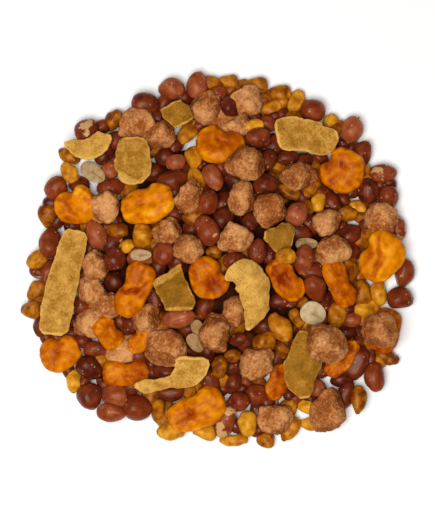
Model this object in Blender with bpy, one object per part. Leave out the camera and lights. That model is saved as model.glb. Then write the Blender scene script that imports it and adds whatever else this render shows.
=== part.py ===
"""A loose heap of savoury snack mix: peanuts in their red skins, sugared peanuts, toasted corn
kernels, peanut halves, fried orange beans and corn chips, lying as they were poured out.
Metres, +Z up, with the origin on the table under the middle of the heap."""

import math

import bmesh
import bpy
import numpy as np

# Plan grid: each piece is placed by column and row, and its sizes are millimetres
MM = 0.001
PLAN_STEP = 0.4545
PLAN_MIDDLE = (218, 259)

# Mound that carries the pieces, in millimetres
LIP_THICKNESS = 1.6
MOUND_RISE = 19.0
MOUND_RADIUS = 66.0
MOUND_POWER = 1.3
MOUND_RINGS = (62.0, 46.0, 30.0, 14.0)
MOUND_SECTORS = 40
LIP_INNERMOST = 74.0
LIP_WIDTH = 7.5
FLOOR_CLEARANCE = 0.3
SINK_IN_MOUND = 2.5

# How the pieces settle on each other, in millimetres and degrees. A nut settles on its core,
# the inner part of its outline, and stands no higher than its crest above the mound
CELL = 0.8
FIELD_HALF = 108.0
NESTLE = 2.4
SETTLING_CORE = 0.88
LOW_CREST = 8.0
CORN_CREST = 8.8
CREST = 11.0
LOW_BEAN_CREST = 8.0
BEAN_CREST = 12.5
TOP_CREST = 24.0
TOPPING_GAP = 0.5
SEAT_GAP = 0.4
MOST_TILT = 20.0
MOST_TOPPING_TILT = 18.0
WOBBLE = 12.0
TOPPING_WOBBLE = 4.0

# Sides round each piece and rings along it
LOW_GRID = (5, 2)
SKIN_GRID = (6, 3)
SUGAR_GRID = (6, 3)
CORN_GRID = (6, 2)
HALF_GRID = (6, 3)
BEAN_GRID = (9, 4)
CHIP_STATIONS = (0.0, 0.05, 0.2, 0.4, 0.6, 0.8, 0.95, 1.0)
CHIP_ROWS = 4
CHIP_THICKNESS = 1.8
CHIP_END_SPAN = 0.06
CHIP_END_NARROWING = 0.35

# Column, row, length and width in millimetres, heading in degrees. Lower pieces come first
LOW_SUGARED = ((224, 122, 12, 10, 0), (240, 127, 11, 10, 0))
SUGARED = (
    (137, 124, 15.5, 13.5, 10), (160, 135, 14.5, 10.5, 30), (206, 107, 15, 12.5, 0),
    (247, 102, 14.5, 12, 90), (298, 176, 14, 12, -20), (107, 206, 15, 12, 60),
    (190, 197, 16, 9, 65), (242, 200, 15.5, 9.5, 85), (270, 208, 16, 12.5, 100),
    (326, 222, 13.5, 10, 0), (331, 249, 15.5, 12.5, 0), (382, 221, 15, 12.5, 110),
    (169, 230, 12, 10, 10), (188, 247, 13, 11, 100), (235, 238, 13.5, 13.5, 0),
    (98, 265, 14, 9, 100), (94, 289, 12.5, 11.5, -30), (112, 303, 12, 10.5, -40),
    (147, 315, 12.5, 12, 0), (166, 345, 18.5, 15.5, -10), (122, 350, 12.5, 10, 0),
    (215, 331, 17.5, 12.5, 95), (256, 361, 17, 13, 80), (328, 409, 20, 14, 70),
    (275, 417, 16, 13, 80), (91, 323, 14, 12.5, -20),
)
TOP_SUGARED = (
    (246, 163, 16.5, 13.5, -10), (324, 341, 17, 14.5, -35), (377, 329, 14.5, 13, 0),
)
LOW_CORN = (
    (287, 405, 8.5, 8, 0), (309, 422, 7, 6.5, 0), (307, 405, 8, 8, 0), (357, 206, 8, 7, 0),
)
CORN = (
    (114, 120, 10, 8, 60), (228, 82, 9, 7, 0), (255, 86, 11, 8, 0), (279, 93, 11, 7.5, 0),
    (296, 102, 11, 7.5, 60), (270, 108, 11, 6.5, 15), (330, 123, 8.5, 7.5, 60),
    (70, 155, 10, 8, -30), (71, 172, 9.5, 8, -60), (49, 215, 10, 9.5, 90),
    (38, 259, 9, 8.5, 30), (38, 291, 9.5, 9, 60), (33, 309, 9.5, 8.8, 0),
    (75, 380, 10, 7.5, 90), (159, 408, 11, 7, 80), (171, 430, 12.5, 9, 0),
    (205, 430, 10, 8, 0), (234, 439, 12.5, 6, 0), (248, 422, 11, 10.5, 90),
    (266, 438, 7.5, 7.5, 0), (290, 428, 12, 8, 60), (358, 398, 12.5, 7.3, 85),
    (386, 355, 11.5, 7.5, -20), (366, 308, 11.5, 8.5, 0), (379, 293, 11, 8.2, 90),
    (281, 347, 8.5, 6.5, -60), (337, 315, 11.5, 9, 80), (280, 325, 14.5, 10.5, -60),
    (264, 340, 10, 10, 0), (220, 365, 10, 8, 90), (346, 213, 9, 8, 0),
    (318, 202, 9, 7, 80), (311, 186, 10.5, 8, 60), (288, 192, 10, 7, -30),
    (196, 178, 11, 8, -70), (195, 158, 10, 8.5, 90), (188, 132, 13, 8, 50),
    (254, 126, 8, 7, 0), (144, 236, 11.5, 10, 80), (128, 246, 7.5, 6, 20),
    (194, 217, 9, 8, 0),
)
TOP_CORN = ((284, 255, 8.5, 7.5, 0),)
LOW_SKINS = (
    (158, 117, 9, 8, 0), (268, 123, 9, 8, 0), (111, 169, 9, 8, 60), (106, 153, 12, 8, 60),
    (81, 185, 9, 8, 0), (51, 270, 13, 8.5, 75), (45, 322, 12, 9, 70), (351, 318, 9, 8, 0),
    (346, 392, 13, 8, 75), (317, 386, 9, 8, 90), (257, 393, 10, 10, 0), (240, 400, 10, 9, 0),
    (171, 391, 15, 9, 10), (118, 394, 13, 12, 0), (97, 348, 12, 8, 0), (83, 304, 10, 9, 60),
)
SKINS = (
    (147, 104, 13, 10, 0), (88, 131, 12, 11, 60), (173, 89, 11.5, 10, 0),
    (198, 86, 13, 9.5, 90), (219, 93, 9, 7.5, 0), (231, 106, 10, 9, 90),
    (313, 111, 11.5, 11, 0), (352, 129, 12.5, 10, 60), (362, 153, 12, 9, 60),
    (382, 173, 13, 9, 0), (368, 190, 12, 10, 90), (388, 196, 10, 9, 90),
    (259, 138, 12, 9.5, 10), (267, 159, 10.5, 9, 60), (266, 185, 11, 10.5, 0),
    (177, 162, 9, 8, 0), (174, 180, 14, 9, 10), (209, 202, 11.5, 9.5, 80),
    (208, 230, 14, 10, 120), (214, 178, 12.5, 8.5, -60), (112, 187, 12, 9, 10),
    (58, 187, 11, 10, 60), (52, 241, 14.5, 10, 80), (98, 235, 14.5, 9.5, -65),
    (117, 258, 11.5, 10, 60), (142, 257, 12, 9.5, 0), (166, 252, 11.5, 10, 80),
    (257, 250, 12, 8.5, 90), (296, 213, 11, 10.5, 60), (351, 233, 11, 9, 20),
    (303, 258, 12.5, 9, 80), (315, 287, 13, 10, -60), (181, 316, 15.5, 8.5, 10),
    (397, 226, 12, 7.5, 100), (404, 272, 13, 8.5, 80), (400, 297, 12, 10, 0),
    (356, 362, 16, 10.5, 60), (374, 375, 14, 9, 95), (226, 418, 15, 9, 70),
    (139, 406, 13, 12, 0), (113, 410, 13.5, 8.5, 0), (91, 394, 12, 11.5, 60),
    (91, 366, 13.5, 10.5, -40),
)
LOW_HALVES = ((196, 341, 10, 6, -55), (306, 243, 10, 5.5, 0))
HALVES = ((94, 172, 13, 9, -40), (313, 312, 13, 10.5, -35), (143, 254, 9.5, 5, 0))
LOW_BEANS = ((278, 380, 17, 11, 75), (142, 337, 14, 9, 60))
BEANS = (
    (77, 205, 19, 17, 20),
    (149, 204, 24.5, 17, 18), (221, 145, 22.5, 17, -10), (342, 170, 20, 19, 60),
    (136, 288, 26, 15.5, 65), (209, 276, 19.5, 16.5, -60), (285, 279, 22, 13, -50),
    (339, 282, 23, 12.5, -65), (380, 256, 23.5, 19, 60), (62, 351, 18.5, 16, 20),
    (110, 331, 15.5, 12.5, -50), (127, 371, 21, 13, 0), (198, 408, 27, 17.5, 25),
    (341, 357, 20, 10, 50), (383, 329, 20, 16, 70),
)

# Each chip: its middle line on the plan grid, then how far it reaches to the left and to the
# right of the line, its rise along the line, and the lift of its long edges, in millimetres
CHIPS = {
    "half_moon": (((66, 143), (78, 143), (90, 142), (102, 140), (114, 137)),
                  (1.0, 1.4, 1.5, 3.6, 1.0), (1.0, 6.4, 8.4, 6.8, 1.0),
                  (1.5, 0.5, 0.0, 0.5, 1.5), 1.0),
    "shield": (((134, 138), (134, 150), (134, 161), (133, 173), (128, 184)),
               (5.9, 7.7, 8.2, 8.4, 3.0), (5.0, 7.7, 8.2, 7.5, 3.0),
               (0.0, 0.0, 0.0, 0.3, 2.0), -1.0),
    "small_square": (((172, 104), (176, 111), (181, 118), (185, 125)),
                     (5.0, 5.6, 5.8, 4.8), (5.2, 5.8, 5.6, 4.6), (0.6, 0.3, 0.0, 0.0), -0.8),
    "wide": (((276, 136), (291, 134), (306, 136), (321, 140), (337, 135)),
             (6.8, 7.7, 7.0, 6.6, 2.0), (6.8, 7.7, 7.4, 7.0, 3.0),
             (1.0, 0.3, 0.0, 0.3, 1.5), 0.8),
    "long_strip": (((79, 229), (73, 255), (66, 281), (60, 306), (56, 333)),
                   (5.4, 6.2, 6.6, 7.0, 6.6), (5.6, 6.4, 6.8, 7.3, 6.4),
                   (0.5, 0.0, 0.0, 0.0, 1.0), -0.8),
    "folded": (((171, 270), (176, 278), (180, 288), (182, 298), (182, 309)),
               (7.8, 5.9, 5.2, 6.4, 5.8), (8.0, 8.8, 9.0, 8.6, 6.4),
               (6.0, 2.6, 0.2, 0.0, 1.2), 1.2),
    "horn": (((225, 276), (233, 272), (244, 273), (253, 284), (256, 298), (255, 312), (249, 329)),
             (1.0, 3.6, 6.9, 7.4, 6.0, 4.8, 1.0), (1.0, 4.2, 6.6, 7.4, 6.5, 4.6, 1.2),
             (1.0, 0.6, 0.0, 0.0, 0.0, -1.0, -2.0), -1.5),
    "rolled": (((262, 235), (272, 236), (283, 237), (293, 240)),
               (1.8, 4.2, 6.2, 4.6), (1.8, 5.2, 7.2, 5.4), (0.0, 1.5, 1.5, 0.0), -3.0),
    "scoop": (((135, 386), (147, 385), (160, 383), (174, 379), (186, 372), (191, 362), (192, 352)),
              (1.0, 3.2, 2.5, 3.4, 7.0, 7.2, 7.2), (1.0, 3.2, 3.0, 3.2, 6.8, 8.2, 7.6),
              (-2.5, -2.0, -1.2, -0.4, 0.0, 0.2, 0.2), 1.0),
    "wedge": (((304, 330), (302, 344), (303, 358), (302, 374), (305, 396)),
              (2.6, 5.2, 8.6, 6.6, 2.4), (2.6, 5.0, 8.2, 8.0, 3.0),
              (-3.5, -1.5, 0.0, 0.5, 0.5), -1.6),
}

# Finish of each node: colour, roughness
FINISHES = {
    "nut_mix": ((0.29, 0.11, 0.05, 1.0), 0.5),
    "orange_bean": ((0.83, 0.26, 0.02, 1.0), 0.35),
    "corn_chip": ((0.6, 0.36, 0.08, 1.0), 0.7),
    "sugared_peanut": ((0.56, 0.24, 0.09, 1.0), 0.65),
    "corn_kernel": ((0.78, 0.38, 0.03, 1.0), 0.45),
}


def chance(*keys):
    """A number from 0 to 1 that depends only on the keys."""
    mixed = sum(key * weight for key, weight in zip(keys, (12.9898, 78.233, 37.719, 9.151)))
    return math.modf(abs(math.sin(mixed)) * 43758.5453)[0]


def plan_point(column, row):
    return np.array(((column - PLAN_MIDDLE[0]) * PLAN_STEP, (PLAN_MIDDLE[1] - row) * PLAN_STEP))


def skin_shape(u, v, length, width, key):
    """Egg: an ellipsoid a little fuller at one end."""
    ring = np.sin(u) ** 0.85 * (1.0 + 0.1 * np.cos(u))
    return np.stack((
        -0.5 * length * np.cos(u),
        0.5 * width * ring * np.cos(v),
        0.46 * width * ring * np.sin(v),
    ), axis=-1)


def sugar_shape(u, v, length, width, key):
    """Lumpy egg: an ellipsoid whose radius swells and sinks in two broad waves."""
    phase = 6.28 * chance(*key, 1)
    lumps = 0.09 * np.sin(2.0 * v + phase) * np.cos(3.0 * u + phase)
    lumps = lumps + 0.06 * np.sin(3.0 * v - 2.0 * phase) * np.sin(2.0 * u)
    ring = np.sin(u) ** 0.72 * (1.0 + lumps * np.sin(u))
    return np.stack((
        -0.5 * length * np.cos(u),
        0.5 * width * ring * np.cos(v),
        0.45 * width * ring * np.sin(v),
    ), axis=-1)


def corn_shape(u, v, length, width, key):
    """Tooth: blunt and broad at the crown, narrow at the tip, flatter than it is wide."""
    ring = np.sin(u) ** 0.6 * (0.86 - 0.24 * np.cos(u))
    return np.stack((
        -0.5 * length * np.cos(u),
        0.5 * width * ring * np.cos(v),
        0.41 * width * ring * np.sin(v),
    ), axis=-1)


def half_shape(u, v, length, width, key):
    """Half egg with its cut face up."""
    egg = skin_shape(u, v, length, width, key)
    egg[..., 2] = np.where(egg[..., 2] > 0.0, 0.12 * egg[..., 2], egg[..., 2])
    return egg


def bean_shape(u, v, length, width, key):
    """Thick kidney: a flattened ellipsoid with a notch in one side and a soft fold on top."""
    ring = np.sin(u) ** 0.6
    along = -np.cos(u)
    phase = 6.28 * chance(*key, 2)
    notch = 1.0 - 0.26 * np.exp(-((along - 0.1) / 0.3) ** 2) * (np.cos(v) > 0.2)
    swell = 1.0 + 0.1 * np.sin(2.6 * along + phase) * np.sin(u)
    fold = 1.0 - 0.22 * np.exp(-(np.cos(v) / 0.3) ** 2) * (np.sin(v) > 0.0) * np.sin(u)
    return np.stack((
        0.5 * length * along,
        0.5 * width * ring * np.cos(v) * notch * swell,
        0.27 * width * ring * np.sin(v) * fold,
    ), axis=-1)


def smooth_through(values, t):
    """Catmull-Rom curve through evenly spaced values, at t from 0 to 1."""
    values = np.asarray(values, float)
    padded = np.concatenate((2 * values[:1] - values[1:2], values, 2 * values[-1:] - values[-2:-1]))
    place = np.clip(np.asarray(t, float) * (len(values) - 1), 0, len(values) - 1)
    step = np.minimum(place.astype(int), len(values) - 2)
    f = place - step
    if values.ndim > 1:
        f = f[..., None]
    p0, p1, p2, p3 = (padded[step + k] for k in range(4))
    bend = 2 * p0 - 5 * p1 + 4 * p2 - p3
    return p1 + 0.5 * f * (p2 - p0 + f * (bend + f * (3 * (p1 - p2) + p3 - p0)))


def chip_sheet(chip, u, v):
    """Middle sheet of a chip: its line swept by its width, raised along it and curled across."""
    line, left_widths, right_widths, rise, curl = chip
    plan = np.array([plan_point(*point) for point in line])
    middle = smooth_through(plan, u)
    ahead = smooth_through(plan, u + 0.01) - smooth_through(plan, u - 0.01)
    ahead = ahead / np.linalg.norm(ahead, axis=-1, keepdims=True)
    left = np.stack((-ahead[..., 1], ahead[..., 0]), axis=-1)
    from_end = np.clip(np.minimum(u, 1.0 - u) / CHIP_END_SPAN, 0.0, 1.0)
    reach = np.where(v > 0.0, smooth_through(left_widths, u), smooth_through(right_widths, u))
    reach = reach * (1.0 - CHIP_END_NARROWING * (1.0 - from_end) ** 2)
    height = smooth_through(rise, u) + curl * (v * reach / max(left_widths + right_widths)) ** 2
    return np.concatenate((middle + (v * reach)[..., None] * left, height[..., None]), axis=-1)


def chip_faces(chip, u, v):
    """Upper and lower face of a chip, half its thickness either side of the middle sheet."""
    sheet = chip_sheet(chip, u, v)
    step = 0.02
    along = chip_sheet(chip, np.minimum(u + step, 1.0), v) - chip_sheet(chip, np.maximum(u - step, 0.0), v)
    across = chip_sheet(chip, u, np.minimum(v + step, 1.0)) - chip_sheet(chip, u, np.maximum(v - step, -1.0))
    normal = np.cross(along, across)
    normal = 0.5 * CHIP_THICKNESS * normal / np.linalg.norm(normal, axis=-1, keepdims=True)
    return sheet + normal, sheet - normal


def cloud_of(shape, length, width, key):
    """Dense points over a closed shape."""
    u, v = np.meshgrid(np.linspace(0.0, math.pi, 48), np.linspace(0.0, 2.0 * math.pi, 56))
    return shape(u, v, length, width, key).reshape(-1, 3)


def chip_cloud(chip):
    u, v = np.meshgrid(np.linspace(0.0, 1.0, 120), np.linspace(-1.0, 1.0, 48))
    return np.concatenate([face.reshape(-1, 3) for face in chip_faces(chip, u, v)])


def turn(axis, degrees):
    """Rotation matrix about one of the three axes."""
    c, s = math.cos(math.radians(degrees)), math.sin(math.radians(degrees))
    i, j = ((1, 2), (2, 0), (0, 1))[axis]
    matrix = np.eye(3)
    matrix[i, i] = matrix[j, j] = c
    matrix[i, j], matrix[j, i] = -s, s
    return matrix


def mound_height(x, y):
    """Top of the mound: a dome that runs out to a thin lip."""
    falls = np.clip(1.0 - (x ** 2 + y ** 2) / MOUND_RADIUS ** 2, 0.0, 1.0)
    return LIP_THICKNESS + MOUND_RISE * falls ** MOUND_POWER


def widened(field, pick):
    """Each cell takes the picked value of itself and its eight neighbours."""
    padded = np.pad(field, 1, mode="edge")
    rows, columns = field.shape
    shifts = [padded[i:i + rows, j:j + columns] for i in range(3) for j in range(3)]
    return pick(shifts, axis=0)


def footprint(cloud, margin=0):
    """The cells a cloud covers, widened by a margin, with its lowest and highest point over each."""
    index = np.floor((cloud[:, :2] + FIELD_HALF) / CELL).astype(int)
    corner = index.min(axis=0) - 1 - margin
    size = index.max(axis=0) - corner + 2 + margin
    inside = tuple((index - corner).T)
    lowest = np.full(size, np.inf)
    highest = np.full(size, -np.inf)
    np.minimum.at(lowest, inside, cloud[:, 2])
    np.maximum.at(highest, inside, cloud[:, 2])
    for _ in range(margin):
        lowest = widened(lowest, np.min)
        highest = widened(highest, np.max)
    at = (slice(corner[0], corner[0] + size[0]), slice(corner[1], corner[1] + size[1]))
    return at, lowest, highest


def lean_on(field, cloud, most_tilt):
    """Rotation that leans a piece with the plane fitted to the field under it."""
    at, lowest, _ = footprint(cloud)
    rows, columns = np.nonzero(np.isfinite(lowest))
    heights = field[at][rows, columns]
    design = np.stack((rows * CELL, columns * CELL, np.ones(len(rows))), axis=1)
    gx, gy, _ = np.linalg.lstsq(design, heights, rcond=None)[0]
    steep = math.hypot(gx, gy)
    if steep < 1e-6:
        return np.eye(3)
    angle = min(math.degrees(math.atan(steep)), most_tilt)
    heading = math.degrees(math.atan2(gy, gx))
    return turn(2, heading) @ turn(1, -angle) @ turn(2, -heading)


def rest_on(field, cloud, margin=0):
    """How far a cloud is lifted to stand on a field."""
    at, lowest, _ = footprint(cloud, margin)
    return float(np.max(field[at] - lowest))


class Pile:
    """Heights of the heap so far: the bed that nuts settle on, the skin of all of it but the
    toppings, and the cover that the toppings make."""

    def __init__(self):
        middles = (np.arange(int(2 * FIELD_HALF / CELL)) + 0.5) * CELL - FIELD_HALF
        x, y = np.meshgrid(middles, middles, indexing="ij")
        self.mound = mound_height(x, y)
        self.bed = np.maximum(self.mound - SINK_IN_MOUND, FLOOR_CLEARANCE)
        self.skin = self.mound.copy()
        self.cover = np.full(self.mound.shape, -np.inf)

    def settle(self, cloud, crest, topping=False):
        """Leans a cloud with what is under it, lowers it until it rests, and adds it. A crest of
        None is a chip, which lies on everything. It gives the turn and the move of the cloud."""
        chip = crest is None
        ends = cloud.min(axis=0), cloud.max(axis=0)
        middle = np.array((*(0.5 * (ends[0] + ends[1]))[:2], 0.0))
        lean = lean_on(self.bed, cloud, MOST_TOPPING_TILT if topping else MOST_TILT)
        leaned = (cloud - middle) @ lean.T
        core = leaned * (SETTLING_CORE, SETTLING_CORE, 1.0) + middle
        leaned = leaned + middle
        if chip:
            lift = rest_on(self.skin, leaned) + SEAT_GAP
        else:
            column, row = (np.floor((middle[:2] + FIELD_HALF) / CELL)).astype(int)
            most = self.mound[column, row] + crest - leaned[:, 2].max()
            lift = min(rest_on(self.bed, core), most)
            lift = max(lift, FLOOR_CLEARANCE - leaned[:, 2].min())
        if topping:
            lift = max(lift, rest_on(self.cover, leaned, 1) + TOPPING_GAP)
        at, _, highest = footprint(leaned)
        self.bed[at] = np.maximum(self.bed[at], highest + lift - NESTLE)
        level = self.cover if topping else self.skin
        level[at] = np.maximum(level[at], highest + lift)
        return lean, middle - lean @ middle + (0.0, 0.0, lift)


def place_nut(pile, shape, row, crest, topping=False):
    """Rotation and place of a nut, kernel or bean."""
    column, line, length, width, heading = row
    key = (column, line)
    wobble = TOPPING_WOBBLE if topping else WOBBLE
    turned = turn(2, heading) @ turn(0, wobble * (2 * chance(*key, 3) - 1))
    turned = turned @ turn(1, wobble * (2 * chance(*key, 4) - 1))
    place = np.append(plan_point(column, line), 0.0)
    lean, move = pile.settle(cloud_of(shape, length, width, key) @ turned.T + place, crest, topping)
    return lean @ turned, lean @ place + move


def grid_mesh(name, rings, tips):
    """Closed mesh from rings of points and a tip at each end."""
    count = len(rings[0])
    points = [tips[0]] + [point for ring in rings for point in ring] + [tips[1]]
    last = len(points) - 1
    faces = []
    for j in range(count):
        k = (j + 1) % count
        faces.append((0, 1 + k, 1 + j))
        for i in range(len(rings) - 1):
            a, b = 1 + i * count, 1 + (i + 1) * count
            faces.append((a + j, a + k, b + k, b + j))
        a = 1 + (len(rings) - 1) * count
        faces.append((a + j, a + k, last))
    mesh = bpy.data.meshes.new(name)
    mesh.from_pydata([tuple(point) for point in points], [], faces)
    outward(mesh)
    return mesh


def outward(mesh):
    """Triangulates a closed mesh and turns its faces outwards."""
    model = bmesh.new()
    model.from_mesh(mesh)
    bmesh.ops.triangulate(model, faces=model.faces)
    bmesh.ops.recalc_face_normals(model, faces=model.faces)
    model.to_mesh(mesh)
    model.free()


def nut_mesh(name, shape, row, grid, rotation, place):
    """Few-sided nut, kernel or bean at its place, as full as the round one that it stands for."""
    column, line, length, width, _ = row
    sides, rings = grid
    u = np.linspace(0.0, math.pi, rings + 2)
    v = 2.0 * math.pi * (np.arange(sides) + 0.5) / sides
    uu, vv = np.meshgrid(u, v, indexing="ij")
    fuller = 4.0 / ((1.0 + math.cos(math.pi / sides)) * (1.0 + math.cos(0.5 * math.pi / (rings + 1))))
    points = shape(uu, vv, length, width * fuller, (column, line)) @ rotation.T + place
    points[..., 2] = np.maximum(points[..., 2], 0.5 * FLOOR_CLEARANCE)
    points = points * MM
    return grid_mesh(name, points[1:-1], (points[0, 0], points[-1, 0]))


def chip_mesh(name, chip, rotation, place):
    """Chip with both faces split alike and joined round its edge."""
    u, v = np.meshgrid(CHIP_STATIONS, np.linspace(-1.0, 1.0, CHIP_ROWS), indexing="ij")
    upper, lower = (face @ rotation.T + place for face in chip_faces(chip, u, v))
    points = np.concatenate((upper.reshape(-1, 3), lower.reshape(-1, 3))) * MM
    below = len(CHIP_STATIONS) * CHIP_ROWS
    faces = []
    for i in range(len(CHIP_STATIONS) - 1):
        for j in range(CHIP_ROWS - 1):
            a, b = i * CHIP_ROWS + j, (i + 1) * CHIP_ROWS + j
            for face in ((a, b, b + 1), (a, b + 1, a + 1)):
                faces.append(face)
                faces.append(tuple(below + corner for corner in reversed(face)))
        for j in (0, CHIP_ROWS - 1):
            a, b = i * CHIP_ROWS + j, (i + 1) * CHIP_ROWS + j
            faces.append((a, below + a, below + b, b))
    for i in (0, len(CHIP_STATIONS) - 1):
        for j in range(CHIP_ROWS - 1):
            a = i * CHIP_ROWS + j
            faces.append((a, a + 1, below + a + 1, below + a))
    mesh = bpy.data.meshes.new(name)
    mesh.from_pydata([tuple(point) for point in points], [], faces)
    outward(mesh)
    return mesh


def lip_reach(places):
    """How far the lip runs in each direction, so that it carries the outermost pieces."""
    angles = 2.0 * math.pi * np.arange(MOUND_SECTORS) / MOUND_SECTORS
    ahead = np.stack((np.cos(angles), np.sin(angles)), axis=1)
    beside = np.stack((-np.sin(angles), np.cos(angles)), axis=1)
    along = ahead @ places.T
    aside = np.abs(beside @ places.T)
    return np.maximum(np.where(aside < LIP_WIDTH, along, 0.0).max(axis=1), LIP_INNERMOST), ahead


def mound_mesh(name, places):
    """Domed mound with a thin lobed lip and a flat underside."""
    reach, ahead = lip_reach(places)
    rims = [(reach, 0.0), (reach, LIP_THICKNESS)]
    rims += [(np.full(MOUND_SECTORS, radius), None) for radius in MOUND_RINGS]
    rings = []
    for radius, height in rims:
        flat = ahead * radius[:, None]
        top = mound_height(flat[:, 0], flat[:, 1]) if height is None else np.full(MOUND_SECTORS, height)
        rings.append(np.column_stack((flat, top)) * MM)
    peak = np.array((0.0, 0.0, float(mound_height(0.0, 0.0)))) * MM
    return grid_mesh(name, rings, (np.zeros(3), peak))


def finish(name):
    """Principled material of a kind of piece."""
    colour, roughness = FINISHES[name]
    material = bpy.data.materials.new(name)
    material.use_nodes = True
    shader = material.node_tree.nodes["Principled BSDF"]
    shader.inputs["Base Color"].default_value = colour
    shader.inputs["Roughness"].default_value = roughness
    material.diffuse_color = colour
    return material


def add_object(name, mesh, kind, collection=None):
    item = bpy.data.objects.new(name, mesh)
    (collection or bpy.context.scene.collection).objects.link(item)
    mesh.materials.append(finish(kind))
    return item


def combine(body, pieces, operation):
    """One union or difference of the body with a collection, which is then emptied."""
    change = body.modifiers.new("pieces", "BOOLEAN")
    change.operation = operation
    change.operand_type = "COLLECTION"
    change.collection = pieces
    change.solver = "EXACT"
    bpy.context.view_layer.update()
    graph = bpy.context.evaluated_depsgraph_get()
    changed = bpy.data.meshes.new_from_object(body.evaluated_get(graph))
    body.modifiers.remove(change)
    body.data = changed
    for item in list(pieces.objects):
        bpy.data.objects.remove(item)
    bpy.data.collections.remove(pieces)
    keep_outer_shell(changed)


def seat_mesh(mesh):
    """Copy of a topping's mesh, larger by the seat gap on every side."""
    seat = mesh.copy()
    model = bmesh.new()
    model.from_mesh(seat)
    model.normal_update()
    moves = [corner.normal * corner.calc_shell_factor() * SEAT_GAP * MM for corner in model.verts]
    for corner, move in zip(model.verts, moves):
        corner.co += move
    model.to_mesh(seat)
    model.free()
    return seat


def keep_outer_shell(mesh):
    """Keeps the largest outer shell: sealed hollows are filled and loose scraps dropped."""
    model = bmesh.new()
    model.from_mesh(mesh)
    bmesh.ops.triangulate(model, faces=model.faces)
    left = set(model.faces)
    shells = []
    while left:
        front = [left.pop()]
        shell = list(front)
        while front:
            for edge in front.pop().edges:
                for face in edge.link_faces:
                    if face in left:
                        left.remove(face)
                        front.append(face)
                        shell.append(face)
        shells.append(shell)
    largest = max(shells, key=len)
    spare = [face for shell in shells if shell is not largest for face in shell]
    bmesh.ops.delete(model, geom=spare, context="FACES")
    model.to_mesh(mesh)
    model.free()


def new_collection(name):
    collection = bpy.data.collections.new(name)
    bpy.context.scene.collection.children.link(collection)
    return collection


def build():
    for item in list(bpy.data.objects):
        bpy.data.objects.remove(item)
    pile = Pile()
    pieces = new_collection("pieces")
    layers = (
        (skin_shape, LOW_GRID, LOW_SKINS, LOW_CREST), (corn_shape, LOW_GRID, LOW_CORN, LOW_CREST),
        (sugar_shape, LOW_GRID, LOW_SUGARED, LOW_CREST), (half_shape, LOW_GRID, LOW_HALVES, LOW_CREST),
        (corn_shape, CORN_GRID, CORN, CORN_CREST), (skin_shape, SKIN_GRID, SKINS, CREST),
        (sugar_shape, SUGAR_GRID, SUGARED, CREST), (half_shape, HALF_GRID, HALVES, CREST),
    )
    places = []
    for shape, grid, rows, crest in layers:
        for row in rows:
            rotation, place = place_nut(pile, shape, row, crest)
            places.append(place[:2])
            add_object("piece", nut_mesh("piece", shape, row, grid, rotation, place), "nut_mix", pieces)
    mound = add_object("nut_mix", mound_mesh("nut_mix", np.array(places)), "nut_mix")
    combine(mound, pieces, "UNION")
    seats = new_collection("seats")
    toppings = (
        ("orange_bean", bean_shape, BEAN_GRID, LOW_BEANS, LOW_BEAN_CREST),
        ("orange_bean", bean_shape, BEAN_GRID, BEANS, BEAN_CREST), ("corn_chip", None, None, CHIPS, None),
        ("sugared_peanut", sugar_shape, SUGAR_GRID, TOP_SUGARED, TOP_CREST),
        ("corn_kernel", corn_shape, CORN_GRID, TOP_CORN, TOP_CREST),
    )
    numbers = {}
    for kind, shape, grid, rows, crest in toppings:
        for row in rows:
            numbers[kind] = numbers.get(kind, 0) + 1
            if shape is None:
                name = f"{kind}_{row}"
                rotation, place = pile.settle(chip_cloud(CHIPS[row]), None, True)
                mesh = chip_mesh(name, CHIPS[row], rotation, place)
            else:
                name = f"{kind}_{numbers[kind]:02d}"
                rotation, place = place_nut(pile, shape, row, crest, True)
                mesh = nut_mesh(name, shape, row, grid, rotation, place)
            add_object(name, mesh, kind)
            add_object("seat", seat_mesh(mesh), "nut_mix", seats)
    combine(mound, seats, "DIFFERENCE")


build()
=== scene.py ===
"""Looks of a loose heap of savoury snack mix: roasted peanuts in their red skins, peanuts in a
crust of sugar, toasted corn kernels, blanched peanut halves, fried orange beans and corn chips.

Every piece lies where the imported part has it: the tables and the settling below are the part's
own, but for the size of one peanut half and the curl of three chips. Nuts that show only deep
between the others are added here. The plan is in steps of a grid, sizes are millimetres, and the
finished meshes are metres."""

import math
from collections import namedtuple
from functools import lru_cache

import bmesh
import bpy
import numpy as np
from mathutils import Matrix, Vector


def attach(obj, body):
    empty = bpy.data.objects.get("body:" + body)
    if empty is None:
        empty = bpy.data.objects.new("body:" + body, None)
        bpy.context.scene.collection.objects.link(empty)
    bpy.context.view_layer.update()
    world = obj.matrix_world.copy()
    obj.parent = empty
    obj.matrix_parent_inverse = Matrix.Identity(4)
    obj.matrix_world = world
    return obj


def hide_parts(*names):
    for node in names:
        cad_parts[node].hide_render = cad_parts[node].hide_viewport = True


bl_info = {
    "name": "Savoury Snack Mix",
    "version": (1, 0, 0),
    "blender": (4, 5, 0),
    "location": "3D View > Sidebar > Snack Mix",
    "description": "Dresses the packed heap of snack mix with its nuts, kernels, beans and chips",
    "category": "Add Mesh",
}

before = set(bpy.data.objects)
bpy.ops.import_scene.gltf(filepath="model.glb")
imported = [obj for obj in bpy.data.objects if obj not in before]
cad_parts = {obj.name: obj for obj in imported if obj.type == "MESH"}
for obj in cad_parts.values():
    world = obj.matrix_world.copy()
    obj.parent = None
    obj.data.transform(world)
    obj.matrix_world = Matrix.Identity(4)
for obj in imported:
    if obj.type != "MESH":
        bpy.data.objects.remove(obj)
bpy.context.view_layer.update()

# Plan grid of the heap
MM = 0.001
PLAN_STEP = 0.4545
PLAN_MIDDLE = (218, 259)

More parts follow.
